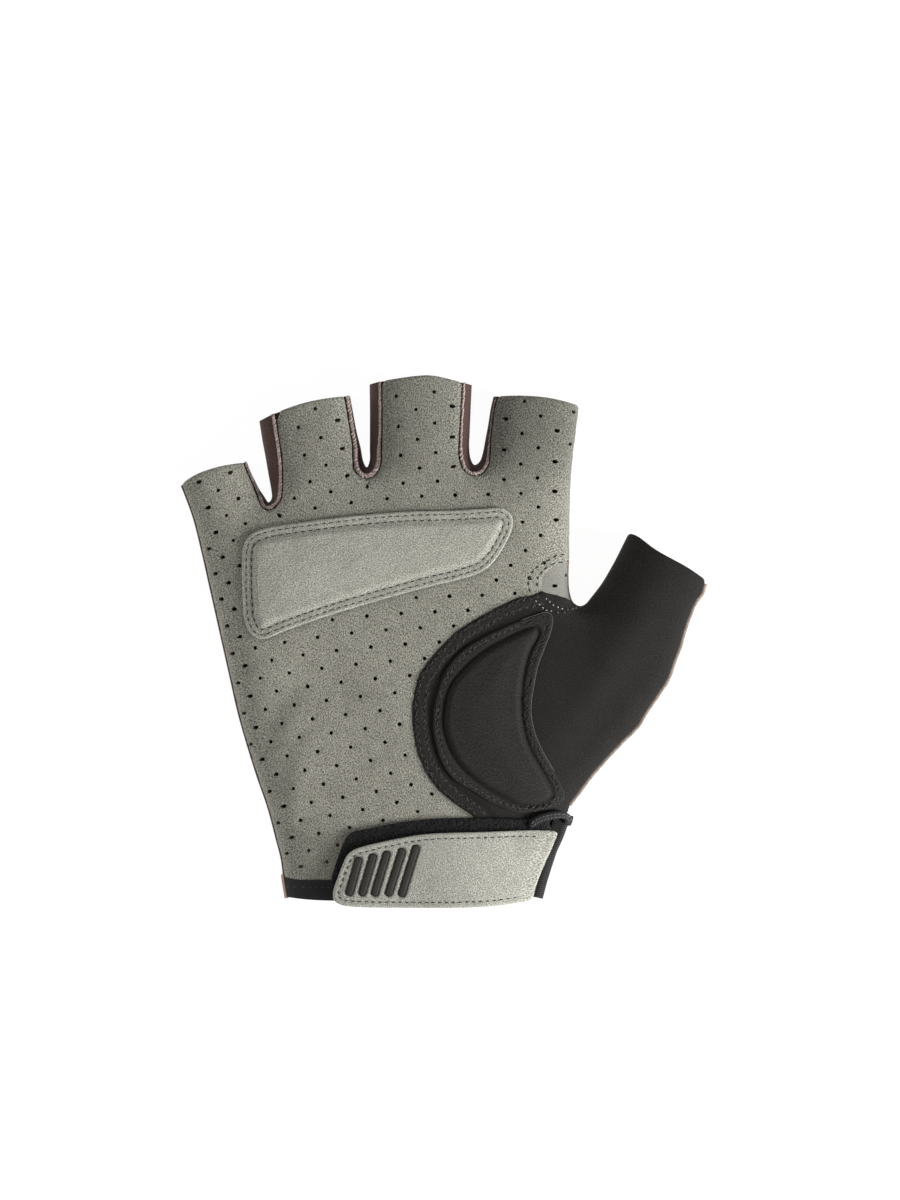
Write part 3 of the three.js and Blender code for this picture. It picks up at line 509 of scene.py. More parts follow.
def strip(name, grid, outer, inner, mat, uv=None, ring=False, normals=None, sharp=55, shade=None):
    """Closed strip (or ring) over a grid of surface points [station, across]."""
    m, w = grid.shape[:2]
    if normals is None:
        if ring:
            g = np.concatenate([grid[-2:], grid, grid[:2]])
            normals = grid_normals(g)[2:-2]
        else:
            normals = grid_normals(grid)
    top = (grid + normals * outer[..., None]).reshape(-1, 3)
    low = (grid + normals * inner[..., None]).reshape(-1, 3)
    k = m * w
    faces = []
    for i in range(m if ring else m - 1):
        j = (i + 1) % m
        for c in range(w - 1):
            a, b, d, e = i * w + c, j * w + c, j * w + c + 1, i * w + c + 1
            faces.append((a, b, d, e))
            faces.append((a + k, e + k, d + k, b + k))
        faces.append((i * w, i * w + k, j * w + k, j * w))
        faces.append((i * w + w - 1, j * w + w - 1, j * w + w - 1 + k, i * w + w - 1 + k))
    if not ring:
        for c in range(w - 1):
            faces.append((c, c + 1, c + 1 + k, c + k))
            o = (m - 1) * w
            faces.append((o + c, o + c + k, o + c + 1 + k, o + c + 1))
    verts = np.concatenate([top, low])
    f = np.array(faces)
    v = verts[f]
    vol = (v[:, 0] * np.cross(v[:, 1], v[:, 2])).sum() + (v[:, 0] * np.cross(v[:, 2], v[:, 3])).sum()
    if vol < 0:
        f = f[:, ::-1]
    if uv is None:
        s = np.concatenate([[0], np.cumsum(np.linalg.norm(np.diff(grid[:, w // 2], axis=0), axis=1))])
        c = np.concatenate([np.zeros((m, 1)), np.cumsum(np.linalg.norm(np.diff(grid, axis=1), axis=2), axis=1)], 1)
        uv = np.stack([np.repeat(s[:, None], w, 1), c], 2).reshape(-1, 2)
    sh = np.ones(k) if shade is None else shade.ravel()
    # inner faces get 0.8 of the colour: painted shade on the inside
    ob = to_object(name, verts, f, mat, uv=np.concatenate([uv, uv]), shade=np.concatenate([sh, sh * 0.8]), sharp=sharp)
    dx = np.linalg.norm(np.diff(grid, axis=0), axis=2).mean() * (m - 1)
    dy = np.linalg.norm(np.diff(grid, axis=1), axis=2).sum(1).mean()
    ob["flat_size_mm"] = [float(dx), float(dy)]
    ob["flat_area_mm2"] = float(dx * dy)
    return ob


class Threads:
    """Collects stitches as short capsules that lie along a row, and makes one mesh of them."""

    def __init__(self):
        self.v, self.f, self.count = [], [], 0

    def stitch(self, a, b, na, nb, r, lift_mid=0.12, sink=0.22, sides=7):
        run = b - a
        length = np.linalg.norm(run)
        if length < 1e-6:
            return
        t = run / length
        n = unit(na + nb)
        s = unit(np.cross(t, n))
        n = np.cross(s, t)
        prof = [(-0.02, 0.0, -sink), (0.02, 0.55, -sink * 0.75), (0.12, 0.92, -sink * 0.2), (0.32, 1.0, lift_mid * 0.8), (0.5, 1.0, lift_mid),
                (0.68, 1.0, lift_mid * 0.8), (0.88, 0.92, -sink * 0.2), (0.98, 0.55, -sink * 0.75), (1.02, 0.0, -sink)]
        base = self.count
        ang = np.linspace(0, 2 * np.pi, sides, endpoint=False)
        for k, (u, q, h) in enumerate(prof):
            c = a + run * u + n * h
            if q == 0.0:
                self.v.append(c[None])
                self.count += 1
            else:
                ring = c + r * q * (np.cos(ang)[:, None] * s + np.sin(ang)[:, None] * n * 0.85)
                self.v.append(ring)
                self.count += sides
        first, last = base, self.count - 1
        rings = [base + 1 + i * sides for i in range(len(prof) - 2)]
        for i in range(sides):
            j = (i + 1) % sides
            self.f.append((first, rings[0] + j, rings[0] + i))
            self.f.append((last, rings[-1] + i, rings[-1] + j))
            for p, q in zip(rings[:-1], rings[1:]):
                self.f.append((p + i, p + j, q + j, q + i))

    def row(self, line, lift, height, pitch=2.0, length=1.5, r=0.2, closed=False, **kw):
        pts = resample(line, step=pitch / 2, closed=closed)
        n = len(pts) - (0 if closed else 1)
        mids = pts
        d = np.concatenate([[0], np.cumsum(np.linalg.norm(np.diff(np.concatenate([line, line[:1]]) if closed else line, axis=0), axis=1))])
        src = np.concatenate([line, line[:1]]) if closed else line
        count = int(d[-1] // pitch)
        at = lambda s: np.stack([np.interp(s, d, src[:, k]) for k in (0, 1)], 1)
        s0 = (np.arange(count) + 0.5) * (d[-1] / count)
        wob = RNG.uniform(-0.04, 0.04, (count, 2))
        a, b = at(s0 - length / 2), at(s0 + length / 2)
        pa, qa = frames(a + wob, lift)
        pb, qb = frames(b + wob, lift)
        ha, hb = height(a), height(b)
        pa, pb = pa + qa * ha[:, None], pb + qb * hb[:, None]
        for i in range(count):
            self.stitch(pa[i], pb[i], qa[i], qb[i], r, **kw)
        return at(np.concatenate([s0 - pitch / 2, [d[-1]]]) if not closed else s0 - pitch / 2)

    def heather(self, line, lift, height, pitch, spread, r=0.1):
        """Short loose threads on both sides of a row."""
        d = np.concatenate([[0], np.cumsum(np.linalg.norm(np.diff(line, axis=0), axis=1))])
        s = np.arange(0.4, d[-1] - 0.4, pitch)
        c = np.stack([np.interp(s, d, line[:, k]) for k in (0, 1)], 1)
        t = unit(np.stack([np.interp(s, d, np.gradient(line[:, k])) for k in (0, 1)], 1))
        side = np.stack([-t[:, 1], t[:, 0]], 1)
        c = c + side * RNG.uniform(-spread, spread, (len(s), 1))
        turn = RNG.uniform(-1.2, 1.2, (len(s), 1))
        way = (t * np.cos(turn) + side * np.sin(turn)) * RNG.uniform(0.2, 0.42, (len(s), 1))
        pa, qa = frames(c - way, lift)
        pb, qb = frames(c + way, lift)
        ha, hb = height(c), height(c)
        size = r * RNG.uniform(0.7, 1.25, len(s))
        for i in range(len(s)):
            self.stitch(pa[i] + qa[i] * ha[i], pb[i] + qb[i] * hb[i], qa[i], qb[i], size[i], lift_mid=0.07, sink=0.1, sides=5)

    def make(self, name, mat):
        return to_object(name, np.concatenate(self.v), self.f, mat, sharp=180)


def pit_points(centres, r=0.3):
    ang = np.linspace(0, 2 * np.pi, 6, endpoint=False)
    ring = np.stack([np.cos(ang), np.sin(ang)], 1) * r
    return np.concatenate([centres, (centres[:, None] + ring[None]).reshape(-1, 2)])


def row_points(line, pitch, closed=False):
    src = np.concatenate([line, line[:1]]) if closed else line
    d = np.concatenate([[0], np.cumsum(np.linalg.norm(np.diff(src, axis=0), axis=1))])
    count = int(d[-1] // pitch)
    s = np.arange(count + (0 if closed else 1)) * (d[-1] / count)
    return np.stack([np.interp(s, d, src[:, k]) for k in (0, 1)], 1)


def groove(p, line, depth, width, closed=False):
    a, b = (line, np.roll(line, -1, axis=0)) if closed else (line[:-1], line[1:])
    d = nearest(p, a, b)[0]
    return -depth * np.exp(-(d / width) ** 2)


def dimples(p, centres, depth, r):
    out = np.zeros(len(p))
    for k in range(0, len(p), 4096):
        q = p[k:k + 4096]
        d2 = ((q[:, None] - centres[None]) ** 2).sum(2).min(1)
        out[k:k + 4096] = -depth * np.exp(-d2 / (r * r))
    return out


def rough(p, a, b, c):
    """Uneven relief of height a and wave number b."""
    x, y = p[:, 0], p[:, 1]
    return a * (np.sin(x * b + 1.7 * np.sin(y * c)) * np.sin(y * b * 1.13 + 1.3 * np.sin(x * c * 0.9)) + 0.6 * np.sin(x * b * 2.3 + y * b * 1.9) * np.sin(y * b * 2.7 - x * b * 1.4))


def smoothstep(x, a, b):
    t = np.clip((x - a) / (b - a), 0, 1)
    return t * t * (3 - 2 * t)


def rim_round(e, r=0.4, drop=0.35):
    return -drop * np.clip(1 - e / r, 0, 1) ** 2


def tube(name, path, normals, radius, mat, sides=10, twist=0.0, amp=0.0, flat=1.0, closed=False):
    """Round cord along a 3-D path, with raised turns of thread if twist and amp are given."""
    t = unit(np.gradient(path, axis=0))
    s = unit(np.cross(t, normals))
    n = np.cross(s, t)
    d = np.concatenate([[0], np.cumsum(np.linalg.norm(np.diff(path, axis=0), axis=1))])
    ang = np.linspace(0, 2 * np.pi, sides, endpoint=False)
    r = np.broadcast_to(np.asarray(radius, float), (len(path),))
    rr = r[:, None] + (amp * np.sin(2 * np.pi * d[:, None] / twist + ang[None]) if twist else 0)
    pts = path[:, None] + rr[..., None] * (np.cos(ang)[None, :, None] * s[:, None] + flat * np.sin(ang)[None, :, None] * n[:, None])
    m = len(path)
    faces = []
    for i in range(m - 1):
        for j in range(sides):
            k = (j + 1) % sides
            faces.append((i * sides + j, i * sides + k, (i + 1) * sides + k, (i + 1) * sides + j))
    faces.append(tuple(range(sides))[::-1])
    faces.append(tuple((m - 1) * sides + j for j in range(sides)))
    verts = pts.reshape(-1, 3)
    uv = np.stack([np.repeat(d, sides), np.tile(ang, m)], 1)
    bm_f = faces
    ob = to_object(name, verts, bm_f, mat, uv=uv, sharp=80)
    bm = bmesh.new()
    bm.from_mesh(ob.data)
    bmesh.ops.recalc_face_normals(bm, faces=bm.faces)
    bm.to_mesh(ob.data)
    bm.free()
    return ob

# ---------------------------------------------------------------- plan tables (plan units, y runs down)
LITTLE_END = [(183, 482.5), (198, 474), (221, 466.5), (246, 462.2)]
RING_END = [(259.5, 421), (275, 413.6), (301, 404.4), (321, 399.8), (344.5, 396.5), (350, 396)]
MIDDLE_END = [(369, 384.5), (381.5, 381.6), (420, 376.2), (433, 376.2), (463, 382.9), (472, 385)]
INDEX_END = [(494, 396.5), (522, 396.1), (547, 398.1), (564, 401.5), (578.8, 405.6)]
THUMB_END = [(628.5, 532.8), (635.3, 535.3), (655.7, 550), (687.6, 567.8), (707.3, 581.2)]
CUFF_TOP = [(282.5, 876.5), (297.4, 879.4), (331.4, 879.6), (400, 879.6), (470, 879.6), (542, 879)]
CUFF_END = [(286, 896.5), (310, 898.7), (336, 899.5), (400, 900), (470, 899.5), (537, 896.5)]
THUMB_PANEL_EDGE = [(542, 591.7), (532.8, 595.5), (516.3, 598.9), (484.7, 614.7), (458.7, 630.8), (441, 647.7),
                    (429.3, 661.6), (420.5, 675), (414.7, 696.8), (413.5, 718), (416, 741), (421, 759), (429.3, 776),
                    (442.5, 792), (458.7, 805), (473.5, 815.6), (484, 832), (491, 852), (494, 878)]
THUMB_PANEL_TOP = [(542.3, 591.5), (548, 594.8), (553, 599.8), (556.5, 603.6), (561, 606), (568, 606.9), (575, 606.8), (582.5, 605)]
CROTCH_PATCH_EDGE = [(567, 560), (560, 564), (551.9, 568), (545, 573.5), (541.6, 579), (541.8, 585), (542.3, 590.5)]
PALM_PAD = [(243.5, 563.7), (243.5, 585.4), (244.5, 605), (246, 620), (252.5, 634), (263.4, 639), (285, 631), (328.4, 615.8),
            (371.8, 602.7), (426, 587.6), (469.3, 576.7), (484.5, 570.2), (495.4, 559.4), (506.2, 542), (512.2, 526),
            (511, 515.5), (501.9, 509), (480, 509.6), (456, 511), (404, 512.5), (350, 517), (306.7, 522.5), (263.4, 530),
            (250, 536.5), (244.4, 548)]
THENAR_PAD = [(545.7, 612.6), (533, 615.8), (507.9, 625.2), (482.6, 637.5), (462.5, 650.5), (448, 667), (438.5, 689),
              (433.3, 713), (434, 735), (441, 760), (453, 778), (470, 789), (491, 802), (516.3, 811.5), (537.3, 810.4),
              (558.4, 804.1), (563.6, 797.8), (562.6, 789.4), (552, 768.4), (541.5, 749.4), (533.1, 728.4), (530.4, 707.3),
              (533.1, 686.3), (537.3, 665.2), (543.6, 648.4), (551, 627.3), (551, 615.8)]
THENAR_CUSHION = [(535.2, 627.3), (507.9, 637.9), (482.6, 652.6), (463.7, 669.4), (451, 686.3), (445.1, 707.3), (444.3, 726.3),
                  (450, 747.3), (461.6, 766.2), (480.5, 783.1), (501.5, 795.7), (520.5, 804.1), (540, 803), (551, 793.6),
                  (546.8, 781), (537.3, 764.1), (526.8, 743.1), (521.5, 720), (520.5, 696.8), (522.6, 675.7), (528.9, 650.5),
                  (537.3, 633.7)]
LOOP_PATCH = [(331.8, 885), (335.8, 865.5), (343.2, 844), (348.2, 834.8), (355, 830.2), (368.5, 827.6), (396.3, 821.9),
              (434.2, 817.8), (480.5, 816.9), (520, 817.6), (543, 819), (549, 826), (544, 840), (536, 858), (529, 874),
              (524, 889), (500, 894), (440, 895), (380, 894.5), (340, 892)]
STRAP = [(335.5, 889.6), (340.2, 874.6), (344, 864.2), (348.4, 854.2), (355, 848.4), (366, 844.4), (377.8, 841.5),
         (396.3, 837.5), (425.7, 832.6), (480.5, 830.4), (541.5, 828.2), (551, 829.5), (547.5, 840), (540.5, 856), (534, 872),
         (529, 886), (526, 896.5), (513, 900.3), (496.6, 903.2), (470, 905.3), (417, 905.8), (352.9, 904.5), (342, 902.4),
         (336, 897.8)]
BARS = [(360.6, 855.4, 350.3, 893.8), (374.8, 852, 362.6, 894), (388.2, 849.2, 374.8, 894.2), (403.2, 846.6, 388.3, 894.2),
        (416.9, 843.4, 401.3, 894.8)]
BAR_WIDTH = 1.74
ARCH_PATH = [(527.5, 825.2), (531, 821), (537, 817.2), (544, 814.6), (551, 812.9), (557, 812.3), (561.2, 813.6), (562.6, 817), (561.2, 821.6)]
# plan inset of the palm seam at the first side of a gap, its bottom and its second side
FORKS = [("little_ring", CROTCH_LITTLE_RING, 0.8, 2.2, 4.8), ("ring_middle", CROTCH_RING_MIDDLE, 1.5, 3.3, 3.4),
         ("middle_index", CROTCH_MIDDLE_INDEX, 2.6, 3.2, 1.0)]
UNDER = 2.5

# spacing of the perforations: plan place = sum of terms (power of i/10, power of j/10, x, y), as the skin lies flat
HOLES = [(0, 0, -32.59, -16.32), (0, 1, 52.76, -38.89), (0, 2, 5.83, -3.33), (0, 3, -4.79, 11.89), (0, 4, 3.89, 7.34),
         (1, 0, 39.76, 50.83), (1, 1, 8.81, 0.52), (1, 2, -23.87, -8.09), (1, 3, 16.85, 1.57), (2, 0, 7.80, -3.63),
         (2, 1, -23.31, -2.73), (2, 2, 19.30, 11.91), (3, 0, -10.98, -5.19), (3, 1, 10.40, 2.00), (4, 0, 4.61, 3.07)]
HOLE_RUNS = {-11: (6, 6), -10: (5, 7), -9: (3, 11), -8: (2, 11), -7: (0, 13), -6: (-1, 14), -5: (-2, 14), -4: (-3, 13),
             -3: (-3, 16), -2: (-4, 16), -1: (-5, 17), 0: (-5, 16), 1: (-6, 14), 2: (-7, 13), 3: (-7, 11), 4: (-6, 0),
             5: (-3, -1), 6: (-2, -1)}
HOLE_R = 0.54
ROW_ROLL = 7.0

# ---------------------------------------------------------------- seams and outlines
SEAM = 0.12


def fork_widths(t, mid, first, bottom, second):
    return roll_out(np.where(t < mid, first + (bottom - first) * (t / mid) ** 3, second + (bottom - second) * ((1 - t) / (1 - mid)) ** 3))


def fork_edge(k, step=0.55, head=0.0):
    name, table, first, bottom, second = FORKS[k]
    probe = resample(spline(place(table)), step=0.3)
    mid = probe[:, 1].argmin() / (len(probe) - 1)
    length = length_of(spline(place(table)))
    n1, n2 = int(length * mid / step), int(length * (1 - mid) / step)
    shares = np.concatenate([mid * (1 - (1 - np.arange(n1) / n1) ** 1.3), mid + (1 - mid) * (np.arange(n2 + 1) / n2) ** 1.3])
    q, n, t = stations(table, shares=shares)
    return q, n, t, fork_widths(t, mid, first, bottom, second), mid


def end_line(table):
    p = resample(spline(place(table)), step=0.5)[1:-1]
    return chart(p)


def chain(*parts):
    out = [parts[0]]
    for p in parts[1:]:
        gap = np.linalg.norm(p[0] - out[-1][-1])
        out.append(p if gap > 0.15 else p[1:])
    line = np.concatenate(out)
    keep = np.linalg.norm(line - np.roll(line, 1, axis=0), axis=1) > 0.08
    return line[keep]


ABOVE_CUFF = place([(0, 877)])[0, 1]
palm_low = resample(spline(place(CUFF_TOP)), step=0.6) + [0, 0.15]
thumb_edge = resample(spline(place(THUMB_PANEL_EDGE)), step=0.5)
thumb_top = resample(spline(place(THUMB_PANEL_TOP)), step=0.4)
gusset_edge = resample(spline(place(CROTCH_PATCH_EDGE)), step=0.4)
left_q, left_n, _ = stations(LEFT_SIDE, step=0.6)
right_q, right_n, _ = stations(RIGHT_SIDE, step=0.6)
crotch_q, crotch_n, crotch_t = stations(THUMB_CROTCH, step=0.4)
forks = [fork_edge(k) for k in range(3)]
wrist_seam = thumb_edge[-1]


def off_sides(p, room):
    return p[nearest(p)[0] > room]


LEFT_IN = 1.35
left_edge = (left_q + left_n * LEFT_IN)[left_q[:, 1] > ABOVE_CUFF]
gaps = [f[0] + f[1] * (f[3] + 0.05)[:, None] for f in forks]
first_patch = np.argmax(crotch_q[:, 1] < place([(0, 561)])[0, 1])
last_patch = np.argmax((crotch_t > 0.4) & (crotch_q[:, 0] > place([(580, 0)])[0, 0]))

little_end = off_sides(end_line(LITTLE_END), 1.2)
ring_end = off_sides(end_line(RING_END), 0.5)
ring_end = ring_end[(ring_end[:, 0] > gaps[0][-1, 0] + 0.3) & (ring_end[:, 0] < gaps[1][0, 0] - 0.3)]
middle_end = end_line(MIDDLE_END)
middle_end = middle_end[(middle_end[:, 0] > gaps[1][-1, 0] + 0.3) & (middle_end[:, 0] < gaps[2][0, 0] - 0.3)]
index_end = end_line(INDEX_END)
index_end = index_end[(index_end[:, 0] > gaps[2][-1, 0] + 0.3) & (index_end[:, 0] < crotch_q[0, 0] - 1.0)]
little_end = little_end[(little_end[:, 0] > left_edge[-1, 0] + 0.2) & (little_end[:, 0] < gaps[0][0, 0] - 0.2)]

# the palm runs under the thumb panel and under the small gusset's neighbour edge
under_thumb = chart(side_shift(thumb_edge, -1.8))
palm_outline = chain(
    left_edge, little_end, gaps[0], ring_end, gaps[1], middle_end, gaps[2], index_end,
    (crotch_q + crotch_n * SEAM)[:first_patch],
    chart(gusset_edge)[1:-1],
    under_thumb[(under_thumb[:, 0] < 27.0) & (under_thumb[:, 1] > wrist_seam[1] + 0.6)],
    palm_low[(palm_low[:, 0] < wrist_seam[0] + 0.8) & (palm_low[:, 0] > left_edge[0, 0] + 0.3)][::-1],
)

# ---------------------------------------------------------------- materials
class Nodes:
    def __init__(self, name):
        self.mat = bpy.data.materials.new(name)
        self.mat.use_nodes = True
        self.tree = self.mat.node_tree
        self.tree.nodes.clear()
        self.out = self.add("ShaderNodeOutputMaterial")
        self.bsdf = self.add("ShaderNodeBsdfPrincipled")
        self.link(self.bsdf.outputs[0], self.out.inputs["Surface"])
        MATERIALS[name] = self.mat

    def add(self, kind, **props):
        n = self.tree.nodes.new(kind)
        for k, v in props.items():
            setattr(n, k, v)
        return n

    def link(self, a, b):
        self.tree.links.new(a, b)

    def plan(self, turn=0.0, scale=(1, 1, 1)):
        uv = self.add("ShaderNodeUVMap")
        uv.uv_map = "plan_mm"
        m = self.add("ShaderNodeMapping")
        m.inputs["Rotation"].default_value = (0, 0, math.radians(turn))
        self.link(uv.outputs[0], m.inputs[0])
        s = self.add("ShaderNodeMapping")
        s.inputs["Scale"].default_value = scale
        self.link(m.outputs[0], s.inputs[0])
        return s.outputs[0]

    def space(self, scale=(1000, 1000, 1000), turn=(0, 0, 0)):
        tc = self.add("ShaderNodeTexCoord")
        m = self.add("ShaderNodeMapping")
        m.inputs["Rotation"].default_value = turn
        m.inputs["Scale"].default_value = scale
        self.link(tc.outputs["Object"], m.inputs[0])
        return m.outputs[0]

    def noise(self, vec, scale, detail=2.0, rough=0.55, distort=0.0):
        n = self.add("ShaderNodeTexNoise")
        n.inputs["Scale"].default_value = scale
        n.inputs["Detail"].default_value = detail
        n.inputs["Roughness"].default_value = rough
        n.inputs["Distortion"].default_value = distort
        self.link(vec, n.inputs["Vector"])
        return n.outputs["Fac"]

    def wave(self, vec, scale, direction="X", distort=0.0, profile="SIN"):
        n = self.add("ShaderNodeTexWave", wave_type="BANDS", bands_direction=direction, wave_profile=profile)
        n.inputs["Scale"].default_value = scale
        n.inputs["Distortion"].default_value = distort
        n.inputs["Detail"].default_value = 0.0
        self.link(vec, n.inputs["Vector"])
        return n.outputs["Fac"]

    def cells(self, vec, scale):
        n = self.add("ShaderNodeTexVoronoi")
        n.inputs["Scale"].default_value = scale
        self.link(vec, n.inputs["Vector"])
        return n.outputs["Distance"]

    def math(self, op, a, b=None, clamp=False):
        n = self.add("ShaderNodeMath", operation=op, use_clamp=clamp)
        for k, v in enumerate((a, b)):
            if v is None:
                continue
            if isinstance(v, (int, float)):
                n.inputs[k].default_value = v
            else:
                self.link(v, n.inputs[k])
        return n.outputs[0]

    def span(self, v, a, b, lo=0.0, hi=1.0):
        n = self.add("ShaderNodeMapRange")
        n.inputs["From Min"].default_value, n.inputs["From Max"].default_value = a, b
        n.inputs["To Min"].default_value, n.inputs["To Max"].default_value = lo, hi
        self.link(v, n.inputs["Value"])
        return n.outputs[0]

    def mix(self, fac, a, b, blend="MIX"):
        n = self.add("ShaderNodeMix", data_type="RGBA", blend_type=blend)
        for sock, v in ((n.inputs["Factor"], fac), (n.inputs[6], a), (n.inputs[7], b)):
            if isinstance(v, (int, float)):
                sock.default_value = v
            elif isinstance(v, tuple):
                sock.default_value = (*v, 1.0)
            else:
                self.link(v, sock)
        return n.outputs[2]

    # multiplies the colour by the 'shade' attribute, which holds painted light and shade
    def shade(self, color):
        a = self.add("ShaderNodeAttribute", attribute_name="shade")
        n = self.add("ShaderNodeVectorMath", operation="SCALE")
        self.link(color, n.inputs[0])
        self.link(a.outputs["Fac"], n.inputs["Scale"])
        return n.outputs[0]

    def finish(self, color, rough, bump=None, depth=0.1, strength=1.0, sheen=0.0, sheen_rough=0.5, tint=(1, 1, 1), spec=0.3):
        b = self.bsdf
        self.link(self.shade(color), b.inputs["Base Color"])
        if isinstance(rough, (int, float)):
            b.inputs["Roughness"].default_value = rough
        else:
            self.link(rough, b.inputs["Roughness"])
        b.inputs["Specular IOR Level"].default_value = spec
        b.inputs["Sheen Weight"].default_value = sheen
        b.inputs["Sheen Roughness"].default_value = sheen_rough
        b.inputs["Sheen Tint"].default_value = (*tint, 1.0)
        if bump is not None:
            n = self.add("ShaderNodeBump")
            n.inputs["Strength"].default_value = strength
            n.inputs["Distance"].default_value = depth * 0.001
            self.link(bump, n.inputs["Height"])
            self.link(n.outputs[0], b.inputs["Normal"])
        return self.mat


def suede(name, light, dark, turn=-62.0, sheen=0.25, grain=1.0, depth=0.16):
    n = Nodes(name)
    v = n.plan(turn, (1.0, 2.0, 1.0))
    fine = n.noise(v, 1.9 * grain, 3.0, 0.66)
    flecks = n.noise(n.plan(turn + 75, (1.0, 1.6, 1.0)), 3.0 * grain, 2.0, 0.62)
    nap = n.noise(n.plan(0), 0.16, 3.0, 0.6)
    brush = n.noise(n.plan(turn, (0.7, 1.0, 1.0)), 0.55, 2.0, 0.5)
    heather = n.math("ADD", n.math("MULTIPLY", fine, 0.62), n.math("MULTIPLY", flecks, 0.38))
    t = n.span(heather, 0.405, 0.595)
    color = n.mix(t, dark, light)
    color = n.mix(n.span(nap, 0.35, 0.68, 0.0, 0.15), color, tuple(c * 0.8 for c in dark))
    color = n.mix(n.span(brush, 0.3, 0.7, 0.0, 0.15), color, tuple(c * 0.9 for c in dark))
    n.finish(color, 0.95, heather, depth, 0.9, sheen=sheen, sheen_rough=0.45, tint=(1.0, 0.99, 0.95), spec=0.12)
    return n


def knit(name, light, dark, pitch=0.9, sheen=0.12, turn=0.0):
    n = Nodes(name)
    v = n.plan(turn)
    wales = n.wave(v, 0.5 / pitch, "X", 0.25)
    rows = n.wave(v, 0.62 / pitch, "Y", 0.25)
    loops = n.math("MULTIPLY", wales, n.math("ADD", 0.45, n.math("MULTIPLY", rows, 0.55)))
    fuzz = n.noise(v, 2.4, 3.0, 0.66)
    h = n.math("ADD", n.math("MULTIPLY", loops, 0.35), n.math("MULTIPLY", fuzz, 0.8))
    patch = n.noise(v, 0.12, 2.0, 0.5)
    color = n.mix(n.span(h, 0.35, 0.8), dark, light)
    color = n.mix(n.span(patch, 0.35, 0.7, 0.0, 0.22), color, dark)
    n.finish(color, 0.85, h, 0.22, 0.8, sheen=sheen, sheen_rough=0.4, tint=(1.0, 0.93, 0.88), spec=0.2)
    return n


suede("suede", (0.50, 0.49, 0.412), (0.041, 0.040, 0.034), depth=0.45)
suede("suede_pad", (0.635, 0.627, 0.544), (0.096, 0.094, 0.079), turn=30, depth=0.34, grain=1.08)
suede("suede_strap", (0.69, 0.683, 0.60), (0.125, 0.124, 0.105), turn=-40, depth=0.34, grain=1.1)
suede("suede_gusset", (0.29, 0.284, 0.255), (0.125, 0.122, 0.109), turn=40, depth=0.14, grain=1.3)


def microfibre(name, light, dark, grain=1.0, depth=0.12, streak=(1.0, 1.0, 1.0), sheen=0.025, rough=0.85, patch=0.3):
    n = Nodes(name)
    v = n.plan(0, streak)
    fine = n.noise(v, 3.4 * grain, 3.0, 0.65)
    broad = n.noise(n.plan(0), 0.2, 3.0, 0.6)
    color = n.mix(n.span(fine, 0.36, 0.66), dark, light)
    color = n.mix(n.span(broad, 0.35, 0.7, 0.0, patch), color, tuple(c * 0.7 for c in dark))
    n.finish(color, n.span(fine, 0.3, 0.7, rough - 0.08, rough + 0.08), fine, depth, 0.8, sheen=sheen, sheen_rough=0.35, tint=(1.0, 0.97, 0.93), spec=0.12)
    return n


microfibre("microfibre", (0.0275, 0.0252, 0.0238), (0.0095, 0.0087, 0.0082), grain=0.72, depth=0.15, patch=0.18)
microfibre("microfibre_pad", (0.044, 0.0415, 0.039), (0.0052, 0.0049, 0.0046), grain=0.78, streak=(1.7, 0.8, 1.0), depth=0.24, patch=0.1)
knit("knit_maroon", (0.135, 0.082, 0.068), (0.030, 0.0145, 0.0115), pitch=0.6)
knit("knit_brown", (0.46, 0.33, 0.26), (0.17, 0.10, 0.072), pitch=0.7)
knit("knit_tan", (0.44, 0.37, 0.32), (0.10, 0.066, 0.046), pitch=0.5)
knit("knit_band", (0.052, 0.045, 0.042), (0.012, 0.0105, 0.010), pitch=0.55, sheen=0.05)


def ribbed(name, light, dark, pitch, direction="X", depth=0.3, turn=0.0):
    n = Nodes(name)
    v = n.plan(turn)
    ribs = n.wave(v, 0.5 / pitch, direction, 0.4)
    fuzz = n.noise(v, 4.0, 2.0, 0.6)
    h = n.math("ADD", n.math("MULTIPLY", ribs, 0.8), n.math("MULTIPLY", fuzz, 0.25))
    color = n.mix(n.span(h, 0.15, 0.9), dark, light)
    n.finish(color, 0.72, h, depth, 0.9, sheen=0.03, sheen_rough=0.3, spec=0.2)
    return n


ribbed("tape", (0.029, 0.0275, 0.0285), (0.0045, 0.0043, 0.0046), 0.9, "X", turn=18.0)
ribbed("binding", (0.021, 0.0195, 0.0205), (0.010, 0.009, 0.0095), 0.5, "Y", depth=0.08)


def plain_thread(name, light, dark, twist=0.45, spec=0.35, rough=0.6):
    n = Nodes(name)
    v = n.space(turn=(0.3, 0.5, 0.7))
    ply = n.wave(v, 0.5 / twist, "X", 1.2)
    fuzz = n.noise(v, 3.0, 2.0, 0.6)
    h = n.math("ADD", n.math("MULTIPLY", ply, 0.5), n.math("MULTIPLY", fuzz, 0.5))
    n.finish(n.mix(n.span(h, 0.2, 0.8), dark, light), rough, h, 0.06, 0.7, sheen=0.05, spec=spec)
    return n


